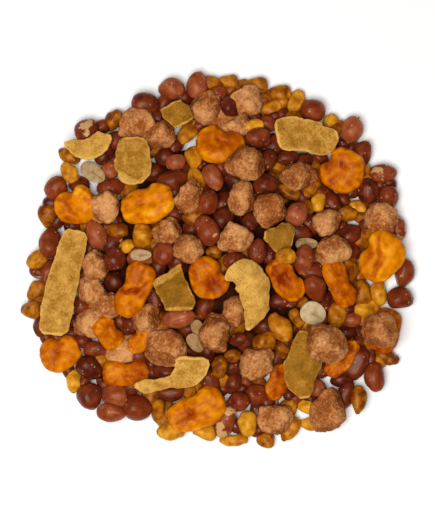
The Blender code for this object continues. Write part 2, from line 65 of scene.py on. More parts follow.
# Mound under the heap and the way its pieces settle, as in the part
LIP_THICKNESS = 1.6
MOUND_RISE = 19.0
MOUND_RADIUS = 66.0
MOUND_POWER = 1.3
FLOOR_CLEARANCE = 0.3
SINK_IN_MOUND = 2.5
CELL = 0.8
FIELD_HALF = 108.0
NESTLE = 2.4
SETTLING_CORE = 0.88
LOW_CREST = 8.0
CORN_CREST = 8.8
CREST = 11.0
LOW_BEAN_CREST = 8.0
BEAN_CREST = 12.5
TOP_CREST = 24.0
TOPPING_GAP = 0.5
SEAT_GAP = 0.4
MOST_TILT = 20.0
MOST_TOPPING_TILT = 18.0
WOBBLE = 12.0
TOPPING_WOBBLE = 4.0
CHIP_THICKNESS = 1.8
CHIP_END_SPAN = 0.06
CHIP_END_NARROWING = 0.35
SLOPE_STEP = 0.02

# Column, row, length and width in millimetres, heading in degrees. Lower pieces come first
LOW_SUGARED = ((224, 122, 12, 10, 0), (240, 127, 11, 10, 0))
SUGARED = (
    (137, 124, 15.5, 13.5, 10), (160, 135, 14.5, 10.5, 30), (206, 107, 15, 12.5, 0),
    (247, 102, 14.5, 12, 90), (298, 176, 14, 12, -20), (107, 206, 15, 12, 60),
    (190, 197, 16, 9, 65), (242, 200, 15.5, 9.5, 85), (270, 208, 16, 12.5, 100),
    (326, 222, 13.5, 10, 0), (331, 249, 15.5, 12.5, 0), (382, 221, 15, 12.5, 110),
    (169, 230, 12, 10, 10), (188, 247, 13, 11, 100), (235, 238, 13.5, 13.5, 0),
    (98, 265, 14, 9, 100), (94, 289, 12.5, 11.5, -30), (112, 303, 12, 10.5, -40),
    (147, 315, 12.5, 12, 0), (166, 345, 18.5, 15.5, -10), (122, 350, 12.5, 10, 0),
    (215, 331, 17.5, 12.5, 95), (256, 361, 17, 13, 80), (328, 409, 20, 14, 70),
    (275, 417, 16, 13, 80), (91, 323, 14, 12.5, -20),
)
TOP_SUGARED = (
    (246, 163, 16.5, 13.5, -10), (324, 341, 17, 14.5, -35), (377, 329, 14.5, 13, 0),
)
LOW_CORN = (
    (287, 405, 8.5, 8, 0), (309, 422, 7, 6.5, 0), (307, 405, 8, 8, 0), (357, 206, 8, 7, 0),
)
CORN = (
    (114, 120, 10, 8, 60), (228, 82, 9, 7, 0), (255, 86, 11, 8, 0), (279, 93, 11, 7.5, 0),
    (296, 102, 11, 7.5, 60), (270, 108, 11, 6.5, 15), (330, 123, 8.5, 7.5, 60),
    (70, 155, 10, 8, -30), (71, 172, 9.5, 8, -60), (49, 215, 10, 9.5, 90),
    (38, 259, 9, 8.5, 30), (38, 291, 9.5, 9, 60), (33, 309, 9.5, 8.8, 0),
    (75, 380, 10, 7.5, 90), (159, 408, 11, 7, 80), (171, 430, 12.5, 9, 0),
    (205, 430, 10, 8, 0), (234, 439, 12.5, 6, 0), (248, 422, 11, 10.5, 90),
    (266, 438, 7.5, 7.5, 0), (290, 428, 12, 8, 60), (358, 398, 12.5, 7.3, 85),
    (386, 355, 11.5, 7.5, -20), (366, 308, 11.5, 8.5, 0), (379, 293, 11, 8.2, 90),
    (281, 347, 8.5, 6.5, -60), (337, 315, 11.5, 9, 80), (280, 325, 14.5, 10.5, -60),
    (264, 340, 10, 10, 0), (220, 365, 10, 8, 90), (346, 213, 9, 8, 0),
    (318, 202, 9, 7, 80), (311, 186, 10.5, 8, 60), (288, 192, 10, 7, -30),
    (196, 178, 11, 8, -70), (195, 158, 10, 8.5, 90), (188, 132, 13, 8, 50),
    (254, 126, 8, 7, 0), (144, 236, 11.5, 10, 80), (128, 246, 7.5, 6, 20),
    (194, 217, 9, 8, 0),
)
TOP_CORN = ((284, 255, 8.5, 7.5, 0),)
LOW_SKINS = (
    (158, 117, 9, 8, 0), (268, 123, 9, 8, 0), (111, 169, 9, 8, 60), (106, 153, 12, 8, 60),
    (81, 185, 9, 8, 0), (51, 270, 13, 8.5, 75), (45, 322, 12, 9, 70), (351, 318, 9, 8, 0),
    (346, 392, 13, 8, 75), (317, 386, 9, 8, 90), (257, 393, 10, 10, 0), (240, 400, 10, 9, 0),
    (171, 391, 15, 9, 10), (118, 394, 13, 12, 0), (97, 348, 12, 8, 0), (83, 304, 10, 9, 60),
)
SKINS = (
    (147, 104, 13, 10, 0), (88, 131, 12, 11, 60), (173, 89, 11.5, 10, 0),
    (198, 86, 13, 9.5, 90), (219, 93, 9, 7.5, 0), (231, 106, 10, 9, 90),
    (313, 111, 11.5, 11, 0), (352, 129, 12.5, 10, 60), (362, 153, 12, 9, 60),
    (382, 173, 13, 9, 0), (368, 190, 12, 10, 90), (388, 196, 10, 9, 90),
    (259, 138, 12, 9.5, 10), (267, 159, 10.5, 9, 60), (266, 185, 11, 10.5, 0),
    (177, 162, 9, 8, 0), (174, 180, 14, 9, 10), (209, 202, 11.5, 9.5, 80),
    (208, 230, 14, 10, 120), (214, 178, 12.5, 8.5, -60), (112, 187, 12, 9, 10),
    (58, 187, 11, 10, 60), (52, 241, 14.5, 10, 80), (98, 235, 14.5, 9.5, -65),
    (117, 258, 11.5, 10, 60), (142, 257, 12, 9.5, 0), (166, 252, 11.5, 10, 80),
    (257, 250, 12, 8.5, 90), (296, 213, 11, 10.5, 60), (351, 233, 11, 9, 20),
    (303, 258, 12.5, 9, 80), (315, 287, 13, 10, -60), (181, 316, 15.5, 8.5, 10),
    (397, 226, 12, 7.5, 100), (404, 272, 13, 8.5, 80), (400, 297, 12, 10, 0),
    (356, 362, 16, 10.5, 60), (374, 375, 14, 9, 95), (226, 418, 15, 9, 70),
    (139, 406, 13, 12, 0), (113, 410, 13.5, 8.5, 0), (91, 394, 12, 11.5, 60),
    (91, 366, 13.5, 10.5, -40),
)
LOW_HALVES = ((196, 341, 10, 6, -55), (306, 243, 10, 5.5, 0))
HALVES = ((94, 172, 14, 7.6, -34), (313, 312, 13, 10.5, -35), (143, 254, 9.5, 5, 0))
LOW_BEANS = ((278, 380, 17, 11, 75), (142, 337, 14, 9, 60))
BEANS = (
    (77, 205, 19, 17, 20),
    (149, 204, 24.5, 17, 18), (221, 145, 22.5, 17, -10), (342, 170, 20, 19, 60),
    (136, 288, 26, 15.5, 65), (209, 276, 19.5, 16.5, -60), (285, 279, 22, 13, -50),
    (339, 282, 23, 12.5, -65), (380, 256, 23.5, 19, 60), (62, 351, 18.5, 16, 20),
    (110, 331, 15.5, 12.5, -50), (127, 371, 21, 13, 0), (198, 408, 27, 17.5, 25),
    (341, 357, 20, 10, 50), (383, 329, 20, 16, 70),
)

# Each chip: its middle line on the plan grid, then how far it reaches to the left and to the
# right of the line, its rise along the line, and the lift of its long edges, in millimetres
CHIPS = {
    "half_moon": (((66, 143), (78, 143), (90, 142), (102, 140), (114, 137)),
                  (1.0, 1.4, 1.5, 3.6, 1.0), (1.0, 6.4, 8.4, 6.8, 1.0),
                  (1.5, 0.5, 0.0, 0.5, 1.5), 1.0),
    "shield": (((134, 138), (134, 150), (134, 161), (133, 173), (128, 184)),
               (5.9, 7.7, 8.2, 8.4, 3.0), (5.0, 7.7, 8.2, 7.5, 3.0),
               (0.0, 0.0, 0.0, 0.3, 2.0), -1.0),
    "small_square": (((172, 104), (176, 111), (181, 118), (185, 125)),
                     (5.0, 5.6, 5.8, 4.8), (5.2, 5.8, 5.6, 4.6), (0.6, 0.3, 0.0, 0.0), -0.8),
    "wide": (((276, 136), (291, 134), (306, 136), (321, 140), (337, 135)),
             (6.8, 7.7, 7.0, 6.6, 2.0), (6.8, 7.7, 7.4, 7.0, 3.0),
             (1.0, 0.3, 0.0, 0.3, 1.5), 0.8),
    "long_strip": (((79, 229), (73, 255), (66, 281), (60, 306), (56, 333)),
                   (5.4, 6.2, 6.6, 7.0, 6.6), (5.6, 6.4, 6.8, 7.3, 6.4),
                   (0.5, 0.0, 0.0, 0.0, 1.0), -0.8),
    "folded": (((171, 270), (176, 278), (180, 288), (182, 298), (182, 309)),
               (7.8, 5.9, 5.2, 6.4, 5.8), (8.0, 8.8, 9.0, 8.6, 6.4),
               (6.0, 2.6, 0.2, 0.0, 1.2), 1.2),
    "horn": (((225, 276), (233, 272), (244, 273), (253, 284), (256, 298), (255, 312), (249, 329)),
             (1.0, 3.6, 6.9, 7.4, 6.0, 4.8, 1.0), (1.0, 4.2, 6.6, 7.4, 6.5, 4.6, 1.2),
             (1.0, 0.6, 0.0, 0.0, 0.0, -1.0, -2.0), -3.4),
    "rolled": (((262, 235), (272, 236), (283, 237), (293, 240)),
               (1.8, 4.2, 6.2, 4.6), (1.8, 5.2, 7.2, 5.4), (0.0, 1.5, 1.5, 0.0), -4.0),
    "scoop": (((135, 386), (147, 385), (160, 383), (174, 379), (186, 372), (191, 362), (192, 352)),
              (1.0, 3.2, 2.5, 3.4, 7.0, 7.2, 7.2), (1.0, 3.2, 3.0, 3.2, 6.8, 8.2, 7.6),
              (-2.5, -2.0, -1.2, -0.4, 0.0, 0.2, 0.2), 1.0),
    "wedge": (((304, 330), (302, 344), (303, 358), (302, 374), (305, 396)),
              (2.6, 5.2, 8.6, 6.6, 2.4), (2.6, 5.0, 8.2, 8.0, 3.0),
              (-3.5, -1.5, 0.0, 0.5, 0.5), -2.4),
}

# Each bean: how pale it came out of the fryer from 0 to 1, the height of its lip, the depth of its
# hollow and of its crease in millimetres, and the heading of the hollow in degrees from its length
BEAN_LOOKS = {
    # The first bean lies under a chip, and its low paleness is partly painted shade
    (278, 380): (0.2, 0.3, 0.3, 0.3, 0), (142, 337): (0.5, 0.3, 0.2, 0.3, 90),
    (77, 205): (0.63, 0.35, 0.4, 0.5, 200), (149, 204): (0.76, 0.3, 0.1, 0.35, 60),
    (221, 145): (0.45, 0.4, 0.5, 0.5, 30), (342, 170): (0.45, 0.35, 0.3, 0.6, 100),
    (136, 288): (0.4, 0.15, 0.1, 1.3, 20), (209, 276): (0.5, 0.1, 0.9, 0.2, 15),
    (285, 279): (0.3, 0.6, 0.9, 0.5, 190), (339, 282): (0.3, 0.0, 0.0, 0.0, 0),
    (380, 256): (0.75, 0.3, 0.25, 1.2, 120), (62, 351): (0.45, 0.3, 0.2, 0.3, 150),
    (110, 331): (0.4, 0.2, 0.3, 0.3, 70), (127, 371): (0.35, 0.2, 0.2, 0.3, 0),
    (198, 408): (0.65, 0.35, 0.4, 0.6, 190), (341, 357): (0.3, 0.4, 0.4, 0.2, 0),
    (383, 329): (0.15, 0.2, 0.2, 0.2, 0),
}
# How pale each peanut half is, from 0 to 1
HALF_PALENESS = {
    (196, 341): 0.05, (306, 243): 0.25, (94, 172): 0.42, (313, 312): 1.0, (143, 254): 0.3,
    (199, 328): 0.0,
}
# How pale a piece of the layer below is, as a share of its paleness on top: the darkening is painted
# shade deep in the heap
UNDER_SHADE_PALENESS = 0.25

# Redskins that have lost a piece of their skin
FLAKED = ((88, 131), (382, 173), (226, 418), (177, 162), (397, 226))

# How pale each chip is, from 0 to 1. The folded chip's low paleness is painted shade on its inner face
CHIP_PALENESS = {
    "half_moon": 0.85, "shield": 0.5, "small_square": 0.25, "wide": 0.5, "long_strip": 0.65,
    "folded": 0.05, "horn": 0.9, "rolled": 0.3, "scoop": 0.75, "wedge": 0.25,
}

# How far the paler lip of a chip goes in from the two ends of its line, in millimetres. The lip's
# paleness is painted light on the edge that faces the lamp
CHIP_LIP = (1.2, 1.2)
CHIP_LIPS = {"folded": (3.2, 1.8), "shield": (1.0, 4.0), "scoop": (2.5, 1.5)}

# Pieces that show only between the others: they are pushed up under them from below
UNDER_SKINS = (
    (287, 157, 11, 7, 0), (305, 161, 10, 8.5, 0), (166, 156, 9, 9, 0), (155, 172, 9, 9, 0),
    (115, 280, 10, 9, 60), (200, 243, 12, 8, 60), (235, 259, 11, 8, 0), (250, 221, 10.5, 9, 60),
    (283, 300, 13.5, 8, 0), (234, 381, 9.5, 8, 60), (244, 375, 10, 8, 60), (130, 325, 10, 8, 60),
    (167, 370, 11, 8, 0), (155, 372, 9, 8, 0),
)
UNDER_CORN = (
    (296, 316, 9, 7, -60), (233, 354, 8, 7, 0), (361, 215, 8, 7, 0), (306, 206, 8, 7, 0),
    (119, 230, 10, 9, 0), (214, 251, 7, 6, 0), (278, 167, 8, 6, 0),
)
UNDER_SUGARED = ((235, 309, 13.5, 9.5, 70),)
UNDER_HALVES = ((199, 328, 10, 6, -70),)

# Spots on the plan where the table shows between pieces at the rim
OPEN_GAPS = (
    (200, 137), (183, 150), (84, 173), (95, 187), (63, 228), (368, 210), (392, 281), (383, 306),
    (95, 379), (357, 382), (325, 380), (241, 412), (300, 414), (103, 399),
)

# How a piece of the layer below is pushed up: how high over the mound, how far below the top of
# the heap, how far into the pieces over it, and which share of it may reach out of the outline
UNDER_CREST = 9.0
UNDER_GAP = 0.3
UNDER_PRESS = 6.0
MOST_OUTSIDE = 0.08

# Nuts that fill what is still open, widest gap first, in millimetres. They stay in the outline,
# which bridges clefts as wide as twice the bridge and leaves the open gaps free
OUTLINE_BRIDGE = 4.8
GAP_RADIUS = 2.0
NARROWEST_GAP = 1.2
MOST_FILLERS = 420

# Least and most size of such a nut, the shares of it that are tried in turn, how many of them are
# redskins, how high and how low over the mound their tops may be, and how far one on the table may
# stand into what is over it
FILL_LENGTH = (11.0, 14.5)
FILL_WIDTH = (8.5, 10.5)
FILL_SHARES = (1.0, 0.86, 0.74, 0.62)
FILL_SKINS = 0.66
FILL_CREST = 6.2
FILL_LEAST_CREST = -1.0
MOST_CROSSING = 2.6

# Dark inside of the heap, whose near-black colour is painted shade deep between the pieces: how far it
# lies below the mound, its reach, and its rings and sides
CORE_DEPTH = 3.5
CORE_RADIUS = 52.0
CORE_GRID = (24, 64)

# How blunt a piece's ends are, where lower is blunter, and half its height as a share of its width
SKIN_FORM = (0.85, 0.46)
SUGAR_FORM = (0.72, 0.45)
CORN_FORM = (0.6, 0.41)
BEAN_FORM = (0.6, 0.27)

# Notch in a bean's side: its depth, its place along the bean and its length; then the fold on top,
# its depth and its breadth; all as shares of the bean's own size
BEAN_NOTCH = (0.26, 0.1, 0.3)
BEAN_FOLD = (0.22, 0.3)

# Flat cuts of a lump: how sharply they meet, where higher is sharper, then how many there are and
# how deep they go, as a share of the lump's reach. To make up for them a lump is a little fuller
EDGE_SHARPNESS = 12.0
SKIN_CUTS = (5, 0.16)
SUGAR_CUTS = (12, 0.34)
CORN_CUTS = (8, 0.28)
SKIN_FULLER, SUGAR_FULLER, CORN_FULLER = 0.12, 1.1, 0.45

# Nib at the end of a redskin: its most height in millimetres, and its breadth in radians
NIB = (1.1, 0.3)

# Height and breadth of what stands up from a surface or sinks into it, in millimetres
SKIN_DIMPLES = (0.3, 5.0)
SKIN_WRINKLES = (0.1, 1.1)
SUGAR_KNOBS = (1.1, 3.8)
SUGAR_RAGGED = (0.6, 2.2)
SUGAR_GRAINS = (0.45, 1.3)
CORN_UNEVEN = (0.35, 3.6)
CORN_DENT = 0.9
HALF_GROOVE = 0.3
HALF_UNEVEN = (0.12, 2.5)
BEAN_UNEVEN = (0.4, 5.5)
BEAN_DENTS = (0.22, 3.0)
BEAN_FAN = 0.1
BEAN_FINE = (0.08, 1.4)

# Where a bean's skin has shrunk, with 0 in the middle and 1 at the outline: the lip's place and
# breadth, the hollow's place and reach, the crease's place, sway and breadth, and the fan's start.
# The fan has this many folds round the bean
LIP = (0.9, 0.07)
HOLLOW = (0.4, 0.28)
CREASE = (0.1, 0.14, 0.09)
FAN_START = 0.35
FAN_FOLDS = 13.0

# Height and breadth of a chip's ragged outline, waves, pits and grain, in millimetres
CHIP_RAGGED = ((0.5, 3.6), (0.2, 1.4))
CHIP_WAVES = ((0.5, 8.0), (0.22, 3.2))
CHIP_PITS = (0.28, 2.6)
CHIP_FINE = (0.12, 1.1)

# Chip: its rings and sides, how they gather at the ends, how square its section is along and across, the
# radius of its ends in millimetres, and how close to the edge its pale rim keeps. The pale rim is painted
# light
CHIP_GRID = (120, 64)
CHIP_GATHER = 0.12
CHIP_SQUARE = (0.55, 0.45)
CHIP_END_RADIUS = 0.9
CHIP_RIM_POWER = 14

# How far apart two pieces stand in their material's pattern, in millimetres
PATTERN_SHIFT = 50.0

# Sizes of the patterns in the materials, in millimetres
SKIN_WRINKLE, SKIN_MOTTLE, SKIN_FLAKE, SALT_SPACING = 0.9, 4.0, 5.5, 3.1
CRUST_GRAIN, CRUST_SPECKLE, SUGAR_CRYSTAL = 0.8, 1.2, 1.1
CORN_PATCH, CORN_GRAIN, HALF_CLOUD = 3.5, 0.7, 2.5
BEAN_MOTTLE, BEAN_WRINKLE = 3.6, 0.8
CHIP_CLOUD, CHIP_DOUGH, CHIP_PIT, CHIP_PATCH, CHIP_GRAIN = 5.0, 1.1, 1.2, 2.4, 0.6
# Size of the mottle in the painted shade of the heap's inside
CORE_MOTTLE = 3.0

# Stage, in metres: half the table's side, the lamp's side and place, and the sensor in millimetres
TABLE_REACH = 1.5
LAMP_SIDE = 0.7
LAMP_PLACE = (-0.16, -0.16, 1.1)
SENSOR_HEIGHT = 24.0

# Colours that a user may change: label, what it colours, and sRGB hex value
COLOURS = {
    "skin_dark": ("Skin, dark", "Peanut skin in its wrinkles", "#46140a"),
    "skin_red": ("Skin, red", "Usual peanut skin", "#823312"),
    "skin_light": ("Skin, light", "Palest peanut skin", "#ac5a32"),
    # The crust's hollow and top colours are partly its own and partly painted shade and painted light
    "crust_deep": ("Crust, hollows", "Amber sugar between the grains", "#6e3008"),
    "crust_tan": ("Crust, tan", "Sugar crust", "#96501c"),
    "crust_frost": ("Crust, frosted", "Tops of the sugar grains", "#d49458"),
    "corn_toasted": ("Corn, toasted", "Brownest corn", "#6e3004"),
    "corn_gold": ("Corn, gold", "Usual corn", "#ae660c"),
    "corn_bright": ("Corn, bright", "Yellowest corn", "#e2a024"),
    "half_cream": ("Peanut half", "Blanched peanut", "#cdb488"),
    # A bean's fold and ridge colours are partly its own and partly painted shade and painted light
    "bean_deep": ("Bean, folds", "Red-orange in a bean's folds", "#862a00"),
    "bean_orange": ("Bean, orange", "Usual bean", "#b45600"),
    "bean_light": ("Bean, ridges", "A bean's lighter ridges", "#de8400"),
    "chip_shade": ("Chip, browned", "Browner parts of a chip", "#744c04"),
    "chip_gold": ("Chip, gold", "Usual chip", "#a06a1c"),
    # The chip rim colour is its palest dough and also the painted light on its edges
    "chip_rim": ("Chip, rim", "A chip's paler rim", "#dca850"),
}

# The other colours, as sRGB hex
# White of the salt specks, partly painted glints, and white of the painted glints on the sugar crust
SKIN_FLAKED, SALT_AND_GLINT_WHITE, SUGAR_GLINT_WHITE = "#c2925e", "#f1e6da", "#ecc8a4"
CORN_TIP, HALF_SHADE, BEAN_YELLOW, CHIP_SPECK = "#4a240a", "#946a38", "#f0b028", "#5e3a08"
OIL_TINT, SKIN_GLOSS = "#ffcf9a", "#ffe2c4"
# Near-black browns of the heap's inside: painted shade
CORE_SHADE_BROWN, CORE_SHADE_DARK = "#3a1608", "#200a04"
FLOOR_WHITE = "#f8f7f5"


def linear(colour):
    """Linear colour with alpha from an sRGB hex value."""
    parts = np.array([int(colour[i:i + 2], 16) / 255 for i in (1, 3, 5)])
    bright = ((parts + 0.055) / 1.055) ** 2.4
    return (*np.where(parts <= 0.04045, parts / 12.92, bright), 1.0)


def chance(*keys):
    """A number from 0 to 1 that depends only on the keys."""
    mixed = sum(key * weight for key, weight in zip(keys, (12.9898, 78.233, 37.719, 9.151)))
    return math.modf(abs(math.sin(mixed)) * 43758.5453)[0]


def plan_point(column, row):
    """Millimetres from the middle of the heap for a spot on the plan grid."""
    return np.array(((column - PLAN_MIDDLE[0]) * PLAN_STEP, (PLAN_MIDDLE[1] - row) * PLAN_STEP))


def oval(u, v, length, width, half_height, ring):
    """Ellipses across, set along the cosine of u from end to end. The ring factor, which runs along
    the piece, scales their width and height, and v goes round them."""
    return np.stack((
        -0.5 * length * np.cos(u),
        0.5 * width * ring * np.cos(v),
        half_height * ring * np.sin(v),
    ), axis=-1)


def skin_shape(u, v, length, width, key):
    """Egg: an ellipsoid a little fuller at one end."""
    blunt, depth = SKIN_FORM
    ring = np.sin(u) ** blunt * (1.0 + 0.1 * np.cos(u))
    return oval(u, v, length, width, depth * width, ring)


def sugar_shape(u, v, length, width, key):
    """Lumpy egg: an ellipsoid whose radius swells and sinks in two broad waves."""
    phase = 6.28 * chance(*key, 1)
    lumps = 0.09 * np.sin(2.0 * v + phase) * np.cos(3.0 * u + phase)
    lumps = lumps + 0.06 * np.sin(3.0 * v - 2.0 * phase) * np.sin(2.0 * u)
    blunt, depth = SUGAR_FORM
    ring = np.sin(u) ** blunt * (1.0 + lumps * np.sin(u))
    return oval(u, v, length, width, depth * width, ring)


def corn_shape(u, v, length, width, key):
    """Tooth: blunt and broad at the crown, narrow at the tip, flatter than it is wide."""
    blunt, depth = CORN_FORM
    ring = np.sin(u) ** blunt * (0.86 - 0.24 * np.cos(u))
    return oval(u, v, length, width, depth * width, ring)


def half_shape(u, v, length, width, key):
    """Half egg with its cut face up."""
    egg = skin_shape(u, v, length, width, key)
    egg[..., 2] = np.where(egg[..., 2] > 0.0, 0.12 * egg[..., 2], egg[..., 2])
    return egg


def bean_shape(u, v, length, width, key):
    """Thick kidney: a flattened ellipsoid with a notch in one side and a soft fold on top."""
    blunt, depth = BEAN_FORM
    notch_depth, notch_place, notch_length = BEAN_NOTCH
    fold_depth, fold_breadth = BEAN_FOLD
    along = -np.cos(u)
    phase = 6.28 * chance(*key, 2)
    notch = np.exp(-((along - notch_place) / notch_length) ** 2) * (np.cos(v) > 0.2)
    bulge = 1.0 + 0.1 * np.sin(2.6 * along + phase) * np.sin(u)
    fold = np.exp(-(np.cos(v) / fold_breadth) ** 2) * (np.sin(v) > 0.0) * np.sin(u)
    bean = oval(u, v, length, width, depth * width, np.sin(u) ** blunt)
    bean[..., 1] = bean[..., 1] * (1.0 - notch_depth * notch) * bulge
    bean[..., 2] = bean[..., 2] * (1.0 - fold_depth * fold)
    return bean


def smooth_through(values, t):
    """Catmull-Rom curve through evenly spaced values, at t from 0 to 1."""
    values = np.asarray(values, float)
    padded = np.concatenate((2 * values[:1] - values[1:2], values, 2 * values[-1:] - values[-2:-1]))
    place = np.clip(np.asarray(t, float) * (len(values) - 1), 0, len(values) - 1)
    step = np.minimum(place.astype(int), len(values) - 2)
    f = place - step
    if values.ndim > 1:
        f = f[..., None]
    p0, p1, p2, p3 = (padded[step + k] for k in range(4))
    bend = 2 * p0 - 5 * p1 + 4 * p2 - p3
    return p1 + 0.5 * f * (p2 - p0 + f * (bend + f * (3 * (p1 - p2) + p3 - p0)))


def chip_sheet(chip, u, v):
    """Middle sheet of a chip: its line swept by its width, raised along it and curled across."""
    line, left_widths, right_widths, rise, curl = chip
    plan = np.array([plan_point(*point) for point in line])
    middle = smooth_through(plan, u)
    ahead = smooth_through(plan, u + 0.01) - smooth_through(plan, u - 0.01)
    ahead = ahead / np.linalg.norm(ahead, axis=-1, keepdims=True)
    left = np.stack((-ahead[..., 1], ahead[..., 0]), axis=-1)
    from_end = np.clip(np.minimum(u, 1.0 - u) / CHIP_END_SPAN, 0.0, 1.0)
    reach = np.where(v > 0.0, smooth_through(left_widths, u), smooth_through(right_widths, u))
    reach = reach * (1.0 - CHIP_END_NARROWING * (1.0 - from_end) ** 2)
    height = smooth_through(rise, u) + curl * (v * reach / max(left_widths + right_widths)) ** 2
    return np.concatenate((middle + (v * reach)[..., None] * left, height[..., None]), axis=-1)


def chip_normal(chip, u, v):
    """Unit normal of the middle sheet, from its slopes along and across."""
    ahead, behind = np.minimum(u + SLOPE_STEP, 1.0), np.maximum(u - SLOPE_STEP, 0.0)
    left, right = np.minimum(v + SLOPE_STEP, 1.0), np.maximum(v - SLOPE_STEP, -1.0)
    along = chip_sheet(chip, ahead, v) - chip_sheet(chip, behind, v)
    across = chip_sheet(chip, u, left) - chip_sheet(chip, u, right)
    normal = np.cross(along, across)
    return normal / np.linalg.norm(normal, axis=-1, keepdims=True)


def cloud_of(shape, length, width, key):
    """Dense points over a closed shape."""
    u, v = np.meshgrid(np.linspace(0.0, math.pi, 48), np.linspace(0.0, 2.0 * math.pi, 56))
    return shape(u, v, length, width, key).reshape(-1, 3)


def chip_cloud(chip):
    """Dense points over both faces of a chip."""
    u, v = np.meshgrid(np.linspace(0.0, 1.0, 120), np.linspace(-1.0, 1.0, 48))
    half = 0.5 * CHIP_THICKNESS * chip_normal(chip, u, v)
    sheet = chip_sheet(chip, u, v)
    return np.concatenate([face.reshape(-1, 3) for face in (sheet + half, sheet - half)])


def turn(axis, degrees):
    """Rotation matrix about one of the three axes."""
    c, s = math.cos(math.radians(degrees)), math.sin(math.radians(degrees))
    i, j = ((1, 2), (2, 0), (0, 1))[axis]
    matrix = np.eye(3)
    matrix[i, i] = matrix[j, j] = c
    matrix[i, j], matrix[j, i] = -s, s
    return matrix


def mound_height(x, y):
    """Top of the mound: a dome that runs out to a thin lip."""
    falls = np.clip(1.0 - (x ** 2 + y ** 2) / MOUND_RADIUS ** 2, 0.0, 1.0)
    return LIP_THICKNESS + MOUND_RISE * falls ** MOUND_POWER


def widened(field, pick):
    """Each cell takes the picked value of itself and its eight neighbours."""
    padded = np.pad(field, 1, mode="edge")
    rows, columns = field.shape
    shifts = [padded[i:i + rows, j:j + columns] for i in range(3) for j in range(3)]
    return pick(shifts, axis=0)


def footprint(cloud, margin=0):
    """The cells a cloud covers, widened by a margin, with its lowest and highest point over each."""
    index = np.floor((cloud[:, :2] + FIELD_HALF) / CELL).astype(int)
    corner = index.min(axis=0) - 1 - margin
    size = index.max(axis=0) - corner + 2 + margin
    inside = tuple((index - corner).T)
    lowest = np.full(size, np.inf)
    highest = np.full(size, -np.inf)
    np.minimum.at(lowest, inside, cloud[:, 2])
    np.maximum.at(highest, inside, cloud[:, 2])
    for _ in range(margin):
        lowest = widened(lowest, np.min)
        highest = widened(highest, np.max)
    at = (slice(corner[0], corner[0] + size[0]), slice(corner[1], corner[1] + size[1]))
    return at, lowest, highest


def lean_on(field, cloud, most_tilt):
    """Rotation that leans a piece with the plane fitted to the field under it."""
    at, lowest, _ = footprint(cloud)
    rows, columns = np.nonzero(np.isfinite(lowest))
    heights = field[at][rows, columns]
    design = np.stack((rows * CELL, columns * CELL, np.ones(len(rows))), axis=1)
    gx, gy, _ = np.linalg.lstsq(design, heights, rcond=None)[0]
    steep = math.hypot(gx, gy)
    if steep < 1e-6:
        return np.eye(3)
    angle = min(math.degrees(math.atan(steep)), most_tilt)
    heading = math.degrees(math.atan2(gy, gx))
    return turn(2, heading) @ turn(1, -angle) @ turn(2, -heading)


def rest_on(field, cloud, margin=0):
    """How far a cloud is lifted to stand on a field."""
    at, lowest, _ = footprint(cloud, margin)
    return float(np.max(field[at] - lowest))


